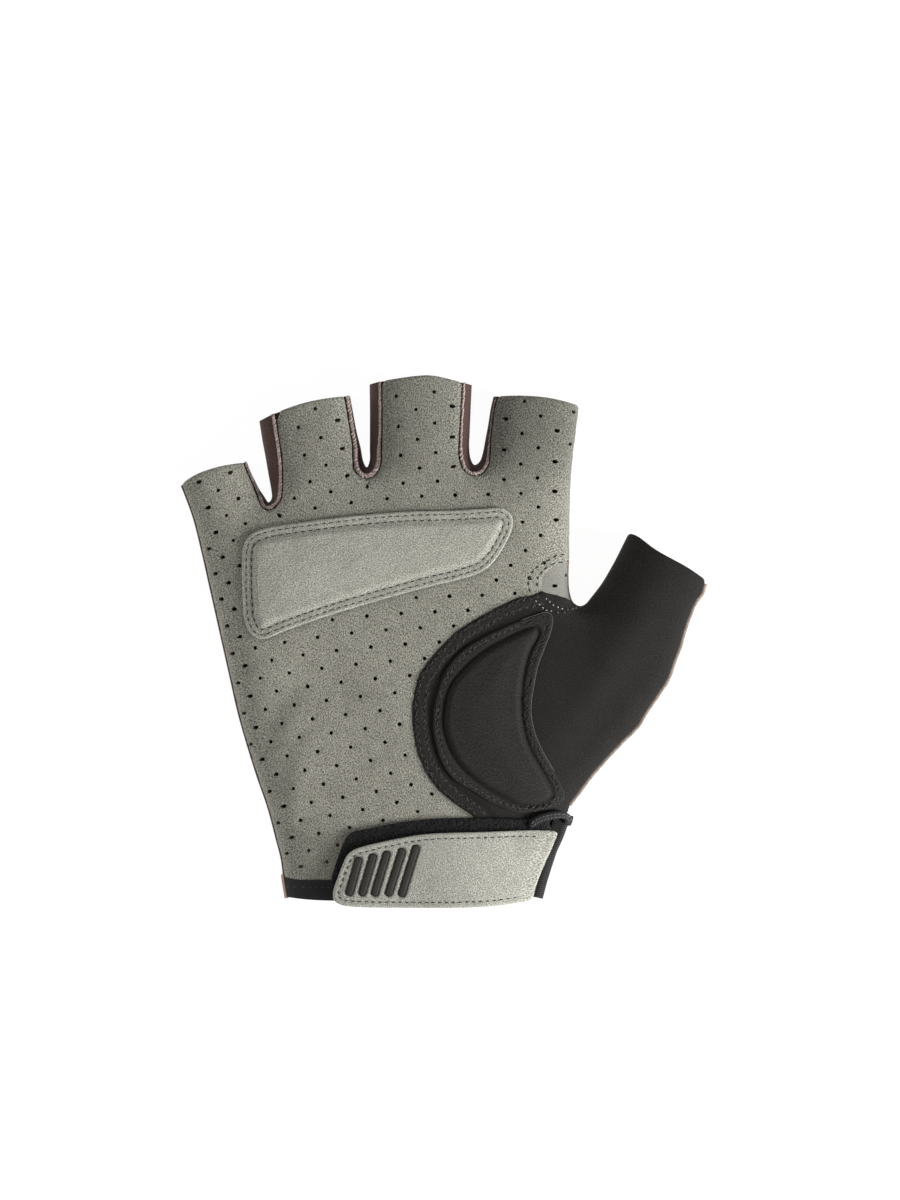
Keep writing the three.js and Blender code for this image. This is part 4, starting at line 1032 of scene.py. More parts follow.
plain_thread("thread_dark", (0.052, 0.050, 0.041), (0.020, 0.0195, 0.016), spec=0.2)
plain_thread("thread_black", (0.062, 0.059, 0.056), (0.016, 0.015, 0.0145))
plain_thread("thread_shadow", (0.032, 0.031, 0.031), (0.007, 0.007, 0.0072))
plain_thread("thread_grey", (0.20, 0.195, 0.185), (0.075, 0.073, 0.069))
plain_thread("thread_edge", (0.088, 0.083, 0.090), (0.032, 0.030, 0.033))
plain_thread("thread_light", (0.56, 0.55, 0.51), (0.22, 0.21, 0.19))
plain_thread("thread_pink", (0.52, 0.44, 0.40), (0.20, 0.15, 0.132), twist=0.4)
plain_thread("overlock", (0.30, 0.235, 0.212), (0.105, 0.068, 0.058), twist=0.9)
plain_thread("thread_tape", (0.17, 0.16, 0.17), (0.07, 0.066, 0.07))
plain_thread("copper", (0.34, 0.215, 0.165), (0.16, 0.092, 0.068), twist=0.6)


def rubber():
    n = Nodes("rubber")
    v = n.plan(0)
    grit = n.noise(v, 2.6, 4.0, 0.7)
    color = n.mix(n.span(grit, 0.35, 0.65), (0.020, 0.0193, 0.0165), (0.036, 0.0345, 0.030))
    n.finish(color, n.span(grit, 0.3, 0.7, 0.55, 0.78), grit, 0.10, 0.8, spec=0.22)


rubber()


def loop_pile():
    n = Nodes("loop_pile")
    v = n.space()
    tuft = n.cells(v, 1.5)
    fuzz = n.noise(v, 3.5, 3.0, 0.7)
    speck = n.span(n.noise(v, 3.2, 2.0, 0.7), 0.67, 0.72)
    h = n.math("ADD", n.math("MULTIPLY", tuft, 0.6), n.math("MULTIPLY", fuzz, 0.6))
    color = n.mix(n.span(h, 0.2, 0.9), (0.0035, 0.0033, 0.0038), (0.0125, 0.012, 0.0135))
    color = n.mix(speck, color, (0.11, 0.105, 0.11))
    n.finish(color, 0.8, h, 0.35, 1.0, sheen=0.03, sheen_rough=0.3, tint=(0.9, 0.93, 1.0), spec=0.2)


loop_pile()

# ---------------------------------------------------------------- perforations
def hole_centres():
    out = []
    for j, (a, b) in HOLE_RUNS.items():
        for i in range(a, b + 1):
            u, w = i / 10, j / 10
            out.append([sum(c[k] * u ** c[0] * w ** c[1] for c in HOLES) for k in (2, 3)])
    p = np.array(out)
    d, q = nearest(p)
    within = inside(p, FIELD)
    s = np.where(within, d, -d)
    n = unit(p - q) * np.where(within, 1, -1)[:, None]
    k = (math.pi / 2 - 1) * ROW_ROLL
    ok = s > -k + 0.3
    angle = np.clip((s + k) / ROW_ROLL, 0, math.pi / 2)
    plan = np.where((s < ROW_ROLL)[:, None], q + n * (ROW_ROLL * (1 - np.cos(angle)))[:, None], p)
    return chart(plan[ok])


def clear_of(p, line, room, closed=True):
    a, b = (line, np.roll(line, -1, axis=0)) if closed else (line[:-1], line[1:])
    return nearest(p, a, b)[0] > room


pad_line = resample(chart(resample(spline(place(PALM_PAD), closed=True), step=0.6, closed=True)), step=0.6, closed=True)
leaf_line = resample(chart(resample(spline(place(THENAR_PAD), closed=True), step=0.6, closed=True)), step=0.6, closed=True)
cushion_line = resample(chart(resample(spline(place(THENAR_CUSHION), closed=True), step=0.6, closed=True)), step=0.6, closed=True)
loop_line = resample(chart(resample(spline(place(LOOP_PATCH), closed=True), step=0.6, closed=True)), step=0.6, closed=True)
strap_line = resample(chart(resample(spline(place(STRAP), closed=True), step=0.6, closed=True)), step=0.6, closed=True)

centres = hole_centres()
centres = centres[inside(centres, palm_outline)]
centres = centres[clear_of(centres, palm_outline, 1.1)]
centres = centres[~inside(centres, pad_line) & clear_of(centres, pad_line, 0.9)]
centres = centres[~inside(centres, loop_line) & clear_of(centres, loop_line, 0.3)]
thumb_chart = chart(thumb_edge)
centres = centres[clear_of(centres, thumb_chart, 0.8, closed=False)]
ring12 = np.stack([np.cos(np.arange(12) * math.pi / 6), np.sin(np.arange(12) * math.pi / 6)], 1)
holes = [c + ring12 * HOLE_R * np.array([1.0, 1.0]) * (0.94 + 0.12 * RNG.random()) for c in centres]


# ---------------------------------------------------------------- palm
def thumb_side(p):
    """Signed distance past the thumb panel's inner edge, positive under the panel."""
    a, b = thumb_chart[:-1], thumb_chart[1:]
    d, q = nearest(p, a, b)
    i = np.argmin(((p[:, None] - (a + b)[None] / 2) ** 2).sum(2), axis=1)
    t = unit(b - a)[i]
    side = (p - q)[:, 0] * -t[:, 1] + (p - q)[:, 1] * t[:, 0]
    return np.where(side > 0, d, -d)


def palm_outer(p, e):
    h = rim_round(e, 0.5, 0.3) + rough(p, 0.05, 0.62, 0.31) + rough(p[:, ::-1] + 3.0, 0.035, 1.5, 0.7)
    h = h + dimples(p, centres, 0.16, 0.8)
    s = thumb_side(p)
    return h - 0.8 * smoothstep(s, -0.2, 0.7)


def palm_inner(p, e):
    return np.full(len(p), -1.0) - 0.6 * smoothstep(thumb_side(p), -0.2, 0.7)


# painted light and shade on the palm: a lighter cut edge, darker finger tips, a lighter left side, painted shade around
# the palm pad and a painted shadow along the thumb panel's edge
def palm_shade(p, e):
    x, y = p[:, 0] / UNIT + PLAN_X, PLAN_Y - p[:, 1] / UNIT
    tips_painted_shade = np.interp(x, [200, 260, 300, 420, 478, 500, 560], [0.25, 0.25, 0.25, 0.17, 0.24, 0.37, 0.38])
    sh = (0.95 + 0.10 * np.exp(-(e / 0.35) ** 2)) * (1 - tips_painted_shade * (1 - smoothstep(y, 435, 525))) * (1 + 0.15 * (1 - smoothstep(x, 270, 380)))
    return sh * (1 - 0.25 * np.exp(-(nearest(p, *loop_segments(pad_line))[0] / 0.7) ** 2)) * (1 - 0.5 * np.exp(-(thumb_side(p) / 0.9) ** 2))


palm = panel("palm_suede", palm_outline, lift_top, palm_outer, palm_inner, "suede", spacing=0.95, holes=holes, shade=palm_shade)
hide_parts("palm_panel")
print("palm", len(palm.data.polygons))


def on(outer, line):
    return lambda p: outer(p, nearest(p, *loop_segments(line))[0])


# ---------------------------------------------------------------- palm pad
PAD_ROWS = (1.15, 2.6)
pad_rows = [inset_loop(pad_line, d, step=0.5) for d in PAD_ROWS]
pad_marks = [row_points(r, 2.05, closed=True) for r in pad_rows]


def pad_outer(p, e):
    h = 0.95 + rim_round(e, 0.45, 0.4) + 0.10 * np.exp(-((e - 0.45) / 0.35) ** 2)
    h = h + 0.72 * smoothstep(e, 2.8, 4.6) + 0.42 * smoothstep(e, 4, 14) + rough(p, 0.05, 0.8, 0.4)
    h = h - 0.15 * np.exp(-((e - PAD_ROWS[0]) / 0.4) ** 2) - 0.19 * np.exp(-((e - PAD_ROWS[1]) / 0.45) ** 2)
    for m in pad_marks:
        h = h + dimples(p, m, 0.12, 0.32)
    return h


# the pad's shade: a painted highlight on its edge and painted shade in its two stitch grooves
pad = panel("palm_pad_suede", pad_line, lift_top, pad_outer, lambda p, e: np.full(len(p), 0.08), "suede_pad", spacing=0.55,
            extra=np.concatenate(pad_marks), shade=lambda p, e: 1.0 + 0.04 * np.exp(-(e / 0.3) ** 2) - 0.16 * np.exp(-((e - PAD_ROWS[0]) / 0.34) ** 2) - 0.20 * np.exp(-((e - PAD_ROWS[1]) / 0.36) ** 2))
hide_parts("palm_pad")
th = Threads()
for r in pad_rows:
    th.row(r, lift_top, on(lambda p, e: 0.95 - 0.17 + rough(p, 0.05, 0.8, 0.4), pad_line), pitch=2.05, length=1.3, r=0.17, closed=True, lift_mid=0.05)
pad_thread = th.make("palm_pad_stitches", "thread_dark")
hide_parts("palm_pad")

# ---------------------------------------------------------------- thumb panel
strip_in = float(roll_out(0.62))
right_low = place([(0, 806)])[0, 1]
thumb_end = off_sides(end_line(THUMB_END), 1.3)
right_upper = right_q[:, 1] > right_low
right_wall = np.concatenate([(right_q + right_n * (strip_in + 0.08))[right_upper],
                             (right_q + right_n * 0.3)[(right_q[:, 1] < right_low - 1.2) & (right_q[:, 1] > ABOVE_CUFF)]])
thumb_end = thumb_end[thumb_end[:, 0] < right_wall[0, 0] - 0.2]
tip_line = chart(thumb_top)
crotch_line = crotch_q + crotch_n * SEAM
tip_line = tip_line[:max(int(np.argmax((nearest(tip_line, crotch_line[:-1], crotch_line[1:])[0] < 0.45) & (tip_line[:, 0] > tip_line[-1, 0] - 2.5))), 1)]
tip_meet = max(int(np.argmin(((crotch_line - tip_line[-1]) ** 2).sum(1))) + 1, last_patch + 1)
thumb_outline = chain(
    tip_line,
    crotch_line[tip_meet:],
    thumb_end, right_wall,
    palm_low[(palm_low[:, 0] > wrist_seam[0] + 0.2) & (palm_low[:, 0] < right_wall[-1, 0] - 0.3)][::-1],
    thumb_chart[::-1][1:-1],
)
BORDER = 3.6
border_rows = [side_shift(thumb_edge, -d) for d in (0.85, 2.9)]
border_rows = [chart(r[(r[:, 1] > place([(0, 815)])[0, 1])][2:]) for r in border_rows]
border_marks = [row_points(r, 1.95) for r in border_rows]


def past_edge(p):
    a, b = thumb_chart[:-1], thumb_chart[1:]
    return nearest(p, a, b)[0]


def thumb_outer(p, e):
    g = past_edge(p)
    h = 0.40 * (1 - smoothstep(g, 3.4, 4.4)) + rim_round(e, 0.4, 0.35)
    h = h - 0.16 * np.exp(-((g - 0.85) / 0.3) ** 2) - 0.18 * np.exp(-((g - 2.9) / 0.4) ** 2) + rough(p, 0.045, 4.1, 1.7) * (1 - smoothstep(g, 3.2, 4.0))
    h = h - 0.25 * np.exp(-((g - 4.1) / 0.5) ** 2) * (p[:, 0] < 27)
    for m in border_marks:
        h = h + dimples(p, m, 0.12, 0.34)
    return h


def thumb_inner(p, e):
    g = past_edge(p)
    return -0.35 - 0.65 * smoothstep(g, 2.2, 3.2)


# the thumb panel's shade: a painted shadow line at its inner edge, a painted highlight on the stitched band, painted
# shade in the groove past it, and painted light on the flank by the crotch
thumb = panel("thumb_microfibre", thumb_outline, lift_top, thumb_outer, thumb_inner, "microfibre", spacing=0.85,
              extra=np.concatenate(border_marks), keep_off=0.0,
              shade=lambda p, e: (1 - 0.35 * np.exp(-((past_edge(p) - 4.1) / 0.7) ** 2) - 0.4 * np.exp(-((past_edge(p) - 0.5) / 0.22) ** 2) + 0.12 * np.exp(-((past_edge(p) - 1.9) / 0.9) ** 2))
              * (1 + 0.75 * np.exp(-(nearest(p, crotch_line[tip_meet:-1], crotch_line[tip_meet + 1:])[0] / 5.0) ** 2)))
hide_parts("thumb_panel")
th = Threads()
for r in border_rows:
    th.row(r, lift_top, lambda p: np.full(len(p), 0.22), pitch=1.95, length=1.2, r=0.16, lift_mid=0.06)
    th.heather(r, lift_top, lambda p: np.full(len(p), 0.36), 0.42, 0.62)
border_thread = th.make("thumb_border_stitches", "thread_black")
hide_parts("thumb_panel")
WHITE_ROWS = [[(533.7, 599.6), (537.5, 603.8), (541.4, 607.3), (544.2, 610.2), (549.3, 611.1), (555, 612.4), (560.5, 613), (566.6, 613), (571, 613)],
              [(543.6, 597.7), (548, 601.5), (551.9, 605), (556.4, 607.6), (561.5, 609.2), (566.2, 610.2), (572.3, 609.8), (578, 608.9), (581.9, 610)]]
th = Threads()
tg = Threads()
for t in WHITE_ROWS:
    line = chart(resample(spline(place(t)), step=0.3))
    cut = int(len(line) * 0.58)
    th.row(line[:cut], lift_top, lambda p: np.full(len(p), 0.36), pitch=1.25, length=0.56, r=0.145, lift_mid=0.12)
    tg.row(line[cut:-4], lift_top, lambda p: np.full(len(p), 0.36), pitch=1.25, length=0.5, r=0.12, lift_mid=0.08)
tip_thread = th.make("thumb_tip_stitches", "thread_light")
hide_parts("thumb_panel")
tip_grey = tg.make("thumb_tip_stitches_grey", "thread_grey")
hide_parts("thumb_panel")

# ---------------------------------------------------------------- small gusset in the thumb crotch
gusset_outline = chain(
    (crotch_q + crotch_n * SEAM)[first_patch:last_patch + 1],
    chart(side_shift(thumb_top, 0.9))[::-1][5:-1],
    chart(side_shift(gusset_edge, 0.9))[::-1][1:-1],
)
GUSSET_ROWS = [[(566, 555), (557, 555.3), (549.7, 559.5), (536.3, 567.7), (532.4, 571.9), (528.3, 579.9), (529.6, 593.3)],
               [(564.6, 562.3), (555, 563.3), (545.2, 569), (542, 572.2), (538.5, 575.7), (537.2, 583.4), (536.6, 587.8)]]
gusset_rows = [chart(resample(spline(place(t)), step=0.3)) for t in GUSSET_ROWS]


def gusset_outer(p, e):
    return -0.35 + rim_round(e, 0.4, 0.3)


gusset_holes = [c + ring12 * HOLE_R for c in chart(place([(567.2, 575.1), (555.4, 585.6), (565.3, 599)]))]
gusset = panel("crotch_gusset_suede", gusset_outline, lift_top, gusset_outer, lambda p, e: np.full(len(p), -1.2), "suede_gusset", spacing=0.7,
               holes=[h for h in gusset_holes if inside(h.mean(0)[None], gusset_outline)[0]], step=0.45)
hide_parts("thumb_crotch_patch")
th = Threads()
for r in gusset_rows:
    th.row(r, lift_top, lambda p: np.full(len(p), 0.02), pitch=1.7, length=1.2, r=0.18, lift_mid=0.1)
gusset_thread = th.make("crotch_gusset_stitches", "thread_dark")
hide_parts("palm_panel")

# ---------------------------------------------------------------- thenar pad
leaf_row = inset_loop(leaf_line, 1.25, step=0.5)
leaf_marks = row_points(leaf_row, 1.85, closed=True)


def leaf_outer(p, e):
    c = nearest(p, *loop_segments(cushion_line))[0]
    c = np.where(inside(p, cushion_line), c, -c)
    h = 0.75 + rim_round(e, 0.5, 0.4) - 0.16 * np.exp(-((e - 1.25) / 0.45) ** 2)
    h = h - 0.52 * np.exp(-((c + 0.25) / 0.5) ** 2) + rough(p, 0.05, 4.3, 1.9) * np.exp(-((e - 1.25) / 0.8) ** 2)
    h = h + 0.95 * smoothstep(c, -0.1, 1.7) + 0.75 * smoothstep(c, 0.8, 9.0) + rough(p, 0.04, 0.9, 0.5)
    return h + dimples(p, leaf_marks, 0.12, 0.34)


# painted shade in the groove along the cushion's outline
leaf = panel("thenar_pad_microfibre", leaf_line, lift_top, leaf_outer, lambda p, e: np.full(len(p), 0.06), "microfibre_pad", spacing=0.5,
             extra=leaf_marks, shade=lambda p, e: 1 - 0.35 * np.exp(-(nearest(p, *loop_segments(cushion_line))[0] / 0.6) ** 2))
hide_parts("thenar_pad")
th = Threads()
leaf_px = leaf_row / UNIT + [PLAN_X, 0]
leaf_py = PLAN_Y - leaf_row[:, 1] / UNIT
far = (leaf_px[:, 0] > 520) & (leaf_py < 792)
start = int(np.argmax(~far & np.roll(far, 1)))
near_row = np.roll(leaf_row, -start, axis=0)[np.roll(~far, -start)]
th.row(near_row, lift_top, lambda p: np.full(len(p), 0.60), pitch=1.85, length=1.15, r=0.16, lift_mid=0.06)
th.heather(near_row, lift_top, lambda p: np.full(len(p), 0.72), 0.36, 0.75)
leaf_thread = th.make("thenar_pad_stitches", "thread_black")
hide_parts("thenar_pad")
rim_px = np.column_stack([leaf_line[:, 0] / UNIT + PLAN_X, PLAN_Y - leaf_line[:, 1] / UNIT])
ts = Threads()
ts.heather(np.roll(leaf_row, -start, axis=0)[np.roll(far, -start)], lift_top, lambda p: np.full(len(p), 0.72), 0.40, 0.7, r=0.12)
dark_thread = ts.make("thenar_pad_dark_stitches", "thread_shadow")
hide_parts("thenar_pad")
far = (rim_px[:, 0] > 520) & (rim_px[:, 1] < 770)
start = int(np.argmax(far & ~np.roll(far, 1)))
far_rim = resample(np.roll(leaf_line, -start, axis=0)[np.roll(far, -start)], step=0.3)
b, nb = frames(far_rim, lift_top)
cord = tube("thenar_pad_edge_thread", b + nb * 0.42, nb, 0.13, "thread_edge", sides=8, twist=0.9, amp=0.03)
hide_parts("thenar_pad")

# ---------------------------------------------------------------- strips between the fingers and their overlock seams
END_LINES = [(LITTLE_END, RING_END), (RING_END, MIDDLE_END), (MIDDLE_END, INDEX_END)]
HEADS = [("little", "ring"), ("ring", "middle"), ("middle", "index")]
# overlock: half width at the first side, the bottom and the second side; its middle lies 0.7 of the half width outside
# the palm's edge
OVERLOCK = [(0.42, 0.62, 0.52), (0.72, 0.72, 0.42), (0.26, 0.52, 0.16)]


def past_end(p, table):
    """How far a plan point lies past a finger's open end."""
    c = spline(place(table))
    c = np.concatenate([[c[0] + (c[0] - c[6])], c, [c[-1] + (c[-1] - c[-7])]])
    slope0, slope1 = (c[0] - c[1]), (c[-1] - c[-2])
    y = np.interp(p[:, 0], c[:, 0], c[:, 1])
    y = np.where(p[:, 0] < c[0, 0], c[0, 1] + (p[:, 0] - c[0, 0]) * slope0[1] / slope0[0], y)
    y = np.where(p[:, 0] > c[-1, 0], c[-1, 1] + (p[:, 0] - c[-1, 0]) * slope1[1] / slope1[0], y)
    return p[:, 1] - y


for k, (name, *_rest) in enumerate(FORKS):
    q, n, t, w, mid = forks[k]
    # carried past both open ends, then each line across the strip is cut to the finger ends
    extra = np.arange(8, 0, -1)[:, None] * 0.55
    h, g = unit(AXIS[HEADS[k][0]]), unit(AXIS[HEADS[k][1]])
    q = np.concatenate([q[0] + h * extra, q, q[-1] + g * extra[::-1]])
    n = np.concatenate([np.repeat(n[:1], 8, 0), n, np.repeat(n[-1:], 8, 0)])
    w = np.concatenate([np.repeat(w[:1], 8), w, np.repeat(w[-1:], 8)])
    t = np.concatenate([np.full(8, t[0]), t, np.full(8, t[-1])])
    m = len(q)
    half = m // 2
    index = np.arange(m)

    def cut(fn):
        """Stations of one line across the strip, from end to end."""
        p = rolled(q, n, fn(w))[:, :2]
        a, b = past_end(p, END_LINES[k][0]), past_end(p, END_LINES[k][1])
        lo = np.interp(0.05, -a[:half:1], index[:half]) if a[0] > 0 else 0.0
        hi = np.interp(0.05, -b[::-1][:half], index[::-1][:half]) if b[-1] > 0 else m - 1.0
        i = np.linspace(lo, hi, m)
        at = lambda z: np.stack([np.interp(i, index, z[:, c]) for c in range(z.shape[1])], 1) if z.ndim == 2 else np.interp(i, index, z)
        return at(q), unit(at(n)), at(w), at(t)

    cols, offs = [], []
    for kind, c in [("under", v) for v in np.linspace(-UNDER, -0.25, 6)] + [("wall", v) for v in np.linspace(0.0, 1.0, 9)] + [("in", v) for v in (0.35, 0.8, 1.3)]:
        fn = (lambda w, c=c: np.full(len(w), c)) if kind == "under" else (lambda w, c=c: w * c) if kind == "wall" else (lambda w, c=c: w + c)
        qq, nn, ww, _ = cut(fn)
        v = fn(ww)
        cols.append(rolled(qq, nn, v))
        offs.append(-0.08 - 1.05 * smoothstep(v - ww, -0.35, 0.3))
    grid, off = np.stack(cols, 1), np.stack(offs, 1)
    ob = strip("finger_gap_" + name + "_knit", grid, off, off - 0.7, "knit_maroon")
    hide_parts("fourchette_" + name)
    first, bottom, second = OVERLOCK[k]
    qq, nn, ww, tt = cut(lambda w: w)
    size = np.where(tt < mid, first + (bottom - first) * smoothstep(tt, mid - 0.22, mid - 0.04), second + (bottom - second) * (1 - smoothstep(tt, mid + 0.04, mid + 0.25)))
    v = np.maximum(ww - 0.7 * size, 0.1)
    seam = rolled(qq, nn, v)
    g3 = np.stack([rolled(qq, nn, v - 0.3), seam, rolled(qq, nn, v + 0.3)], 1)
    up = grid_normals(g3)[:, 1]
    up = up * np.sign(up[:, 2:3] + 1e-9)
    cord = seam + up * 0.10
    d = np.concatenate([[0], np.cumsum(np.linalg.norm(np.diff(cord, axis=0), axis=1))])
    at = np.linspace(0.1, d[-1] - 0.1, int(d[-1] / 0.2))
    path = np.stack([np.interp(at, d, cord[:, c]) for c in range(3)], 1)
    nrm = unit(np.stack([np.interp(at, d, up[:, c]) for c in range(3)], 1))
    width = np.interp(at, d, size)
    ob = tube("finger_gap_" + name + "_overlock", path, nrm, width * 0.92, "overlock", sides=12, flat=0.62)
    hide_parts("fourchette_" + name)
    th = Threads()
    run = unit(np.gradient(path, axis=0))
    s = 0.7
    while s < d[-1] - 0.8:
        j = min(int((s - 0.1) / (d[-1] - 0.2) * (len(at) - 1)), len(at) - 1)
        c, tv, nv, r = path[j], run[j], nrm[j], width[j]
        sv = unit(np.cross(tv, nv))
        second = s / d[-1] > mid + 0.06
        lean = RNG.uniform(0.15, 0.6) if second else RNG.uniform(0.55, 0.85)
        thick = RNG.uniform(0.11, 0.2) if second else RNG.uniform(0.2, 0.33)
        jit = RNG.uniform(-0.08, 0.08, 3)
        th.stitch(c - tv * lean - sv * r * RNG.uniform(0.7, 1.1) + jit, c + tv * lean + sv * r * RNG.uniform(0.7, 1.1) + jit, nv, nv, thick, lift_mid=0.5 * r + 0.04, sink=0.08)
        s += RNG.uniform(0.4, 0.75) if second else RNG.uniform(0.75, 1.25)
    ob = th.make("finger_gap_" + name + "_overlock_thread", "thread_pink")
    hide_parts("fourchette_" + name)

# ---------------------------------------------------------------- side strips
sel = right_q[:, 1] > right_low - 0.4
vs = np.concatenate([np.linspace(-1.5, 0, 4), np.linspace(0.5, strip_in, 5), [strip_in + 0.5, strip_in + 1.2]])
grid = np.stack([rolled(right_q[sel], right_n[sel], np.full(sel.sum(), v)) for v in vs], 1)
off = np.repeat((-0.05 - 1.1 * smoothstep(vs - strip_in, -0.2, 0.4))[None], sel.sum(), 0)
# tone_with_painted_light_and_shade: painted shade where the strip runs under the thumb panel's edge, painted light at
# its upper end by the thumb tip, and a random tone from station to station
tone_with_painted_light_and_shade = np.repeat(np.interp(vs, [-1.5, strip_in - 0.5, strip_in], [1.0, 1.0, 0.3])[None], sel.sum(), 0)
tone_with_painted_light_and_shade = tone_with_painted_light_and_shade * (0.85 + 0.3 * RNG.random((sel.sum(), 1))) * np.interp(np.arange(sel.sum()), [0, 8, 14], [1.25, 1.2, 0.9])[:, None]
side = strip("thumb_side_knit", grid, off + RNG.uniform(-0.06, 0.06, off.shape), off - 0.7, "knit_tan", shade=tone_with_painted_light_and_shade)
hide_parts("thumb_side_strip")

sel = left_q[:, 1] > ABOVE_CUFF - 0.4
vs = np.concatenate([np.linspace(-1.5, 0, 5), [0.4, 0.8, 1.15, 1.5, 2.0, 2.5]])
grid = np.stack([rolled(left_q[sel], left_n[sel], np.full(sel.sum(), v)) for v in vs], 1)
off = np.repeat((-0.08 - 1.1 * smoothstep(vs - LEFT_IN, -0.3, 0.3))[None], sel.sum(), 0)
seam_left = strip("outer_side_knit", grid, off, off - 0.6, "knit_maroon")
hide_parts("back_panel")

low = left_q[:, 1] < ABOVE_CUFF + 1.2
vs = np.linspace(-2.2, 1.9, 9)
grid = np.stack([rolled(left_q[low], left_n[low], np.full(low.sum(), v)) for v in vs], 1)
off = np.full(grid.shape[:2], 0.42)
copper = strip("wrist_side_tab", grid, off, off - 0.5, "copper")
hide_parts("cuff_binding")

# ---------------------------------------------------------------- back of the hand
back_outline = chain(
    (left_q + left_n * 1.5)[left_q[:, 1] > ABOVE_CUFF],
    off_sides(end_line(LITTLE_END), 1.5),
    forks[0][0] + forks[0][1] * (UNDER + 0.1),
    off_sides(end_line(RING_END), 2.0),
    forks[1][0] + forks[1][1] * (UNDER + 0.1),
    off_sides(end_line(MIDDLE_END), 2.0),
    forks[2][0] + forks[2][1] * (UNDER + 0.1),
    off_sides(end_line(INDEX_END), 1.0),
    (crotch_q + crotch_n * SEAM),
    off_sides(end_line(THUMB_END), 1.3),
    (right_q + right_n * 1.5)[right_upper],
    (right_q + right_n * 0.2)[(right_q[:, 1] < right_low - 1.2) & (right_q[:, 1] > ABOVE_CUFF)],
    palm_low[(palm_low[:, 0] > left_edge[0, 0] + 0.4) & (palm_low[:, 0] < right_wall[-1, 0] - 0.3)][::-1],
)
back = panel("back_knit", back_outline, lift_bottom, lambda p, e: rim_round(e, 0.5, 0.3), lambda p, e: np.full(len(p), -0.9), "knit_brown",
             spacing=1.6, flip=True)
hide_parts("back_panel")
print("back", len(back.data.polygons))

# ---------------------------------------------------------------- bound edge of the wrist
def cuff_grid(n, rows):
    up, low = resample(spline(place(CUFF_TOP)), step=0.3), resample(spline(place(CUFF_END)), step=0.3)
    out = []
    for under in (False, True):
        for i in (range(n) if not under else range(n, 0, -1)):
            s = (1 - math.cos(math.pi * i / n)) / 2
            a = np.array([np.interp(s * (len(up) - 1), np.arange(len(up)), up[:, k]) for k in (0, 1)])
            b = np.array([np.interp(s * (len(low) - 1), np.arange(len(low)), low[:, k]) for k in (0, 1)])
            p = a + (b - a) * np.asarray(rows)[:, None]
            d, q = nearest(p)
            bad = ~inside(p, FIELD) | (d < 0.02)
            p = np.where(bad[:, None], q + [0.02 if s < 0.5 else -0.02, 0], p)
            z = bottom_z(nearest(p)[0]) if under else top_z(p)
            out.append(np.column_stack([p, z]))
    return np.array(out)


rows = np.array([-0.04, 0.04, 0.12, 0.3, 0.5, 0.7, 0.88, 0.96, 1.0])
grid = cuff_grid(70, rows)
bulge = np.repeat((0.22 * np.sin(np.pi * np.clip((rows + 0.04) / 1.04, 0, 1)) ** 0.6)[None], len(grid), 0)
cuff = strip("wrist_binding", grid, bulge, bulge - 1.5, "binding", ring=True)
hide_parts("cuff_binding")

cuff_line = resample(spline(place([(286, 886), (300, 886), (340, 886), (420, 886), (500, 886), (534, 885.6)])), step=0.4)
th = Threads()
th.row(chart(cuff_line), lift_top, lambda p: np.full(len(p), 0.16), pitch=1.7, length=1.1, r=0.16, lift_mid=0.08)
ob = th.make("wrist_binding_stitches", "thread_shadow")
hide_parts("cuff_binding")

# ---------------------------------------------------------------- loop patch
def loop_outer(p, e):
    return 1.15 + rim_round(e, 0.4, 0.4) + rough(p, 0.10, 5.1, 2.3)


loop = panel("loop_patch_pile", loop_line, lift_top, loop_outer, lambda p, e: np.full(len(p), 0.3), "loop_pile", spacing=0.5)
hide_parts("loop_patch")

# small arched loops of the pile
def pile_loops(line, skip, count):
    lo, hi = line.min(0), line.max(0)
    p = RNG.uniform(lo, hi, (count * 6, 2))
    p = p[inside(p, line)]
    p = p[nearest(p, *loop_segments(line))[0] > 0.3]
    deep = inside(p, skip) & (nearest(p, *loop_segments(skip))[0] > 1.5)
    p = p[~deep][:count]
    b, n = frames(p, lift_top)
    verts, faces = [], []
    base = 0
    for k in range(len(p)):
        turn = RNG.uniform(0, 2 * np.pi)
        size = RNG.uniform(0.28, 0.5)
        s = np.array([math.cos(turn), math.sin(turn), 0.0])
        s = unit(s - n[k] * (s @ n[k]))
        c = b[k] + n[k] * 1.1
        lean = np.cross(n[k], s)
        arc = np.linspace(-0.2, math.pi + 0.2, 6)
        mids = c + size * (np.cos(arc)[:, None] * s * 0.8 + np.sin(arc)[:, None] * (n[k] * 0.9 + lean * RNG.uniform(-0.5, 0.5)))
        t = unit(np.gradient(mids, axis=0))
        o = unit(np.cross(t, lean))
        r = 0.055
        for i in range(6):
            for ang in (0.5, 2.6, 4.7):
                verts.append(mids[i] + r * (math.cos(ang) * o[i] + math.sin(ang) * lean))
        for i in range(5):
            for j in range(3):
                a = base + i * 3 + j
                d = base + i * 3 + (j + 1) % 3
                faces.append((a, d, d + 3, a + 3))
        base += 18
    return verts, faces


v, f = pile_loops(loop_line, strap_line, 2600)
pile = to_object("loop_patch_loops", v, f, "thread_shadow", sharp=180)
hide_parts("loop_patch")

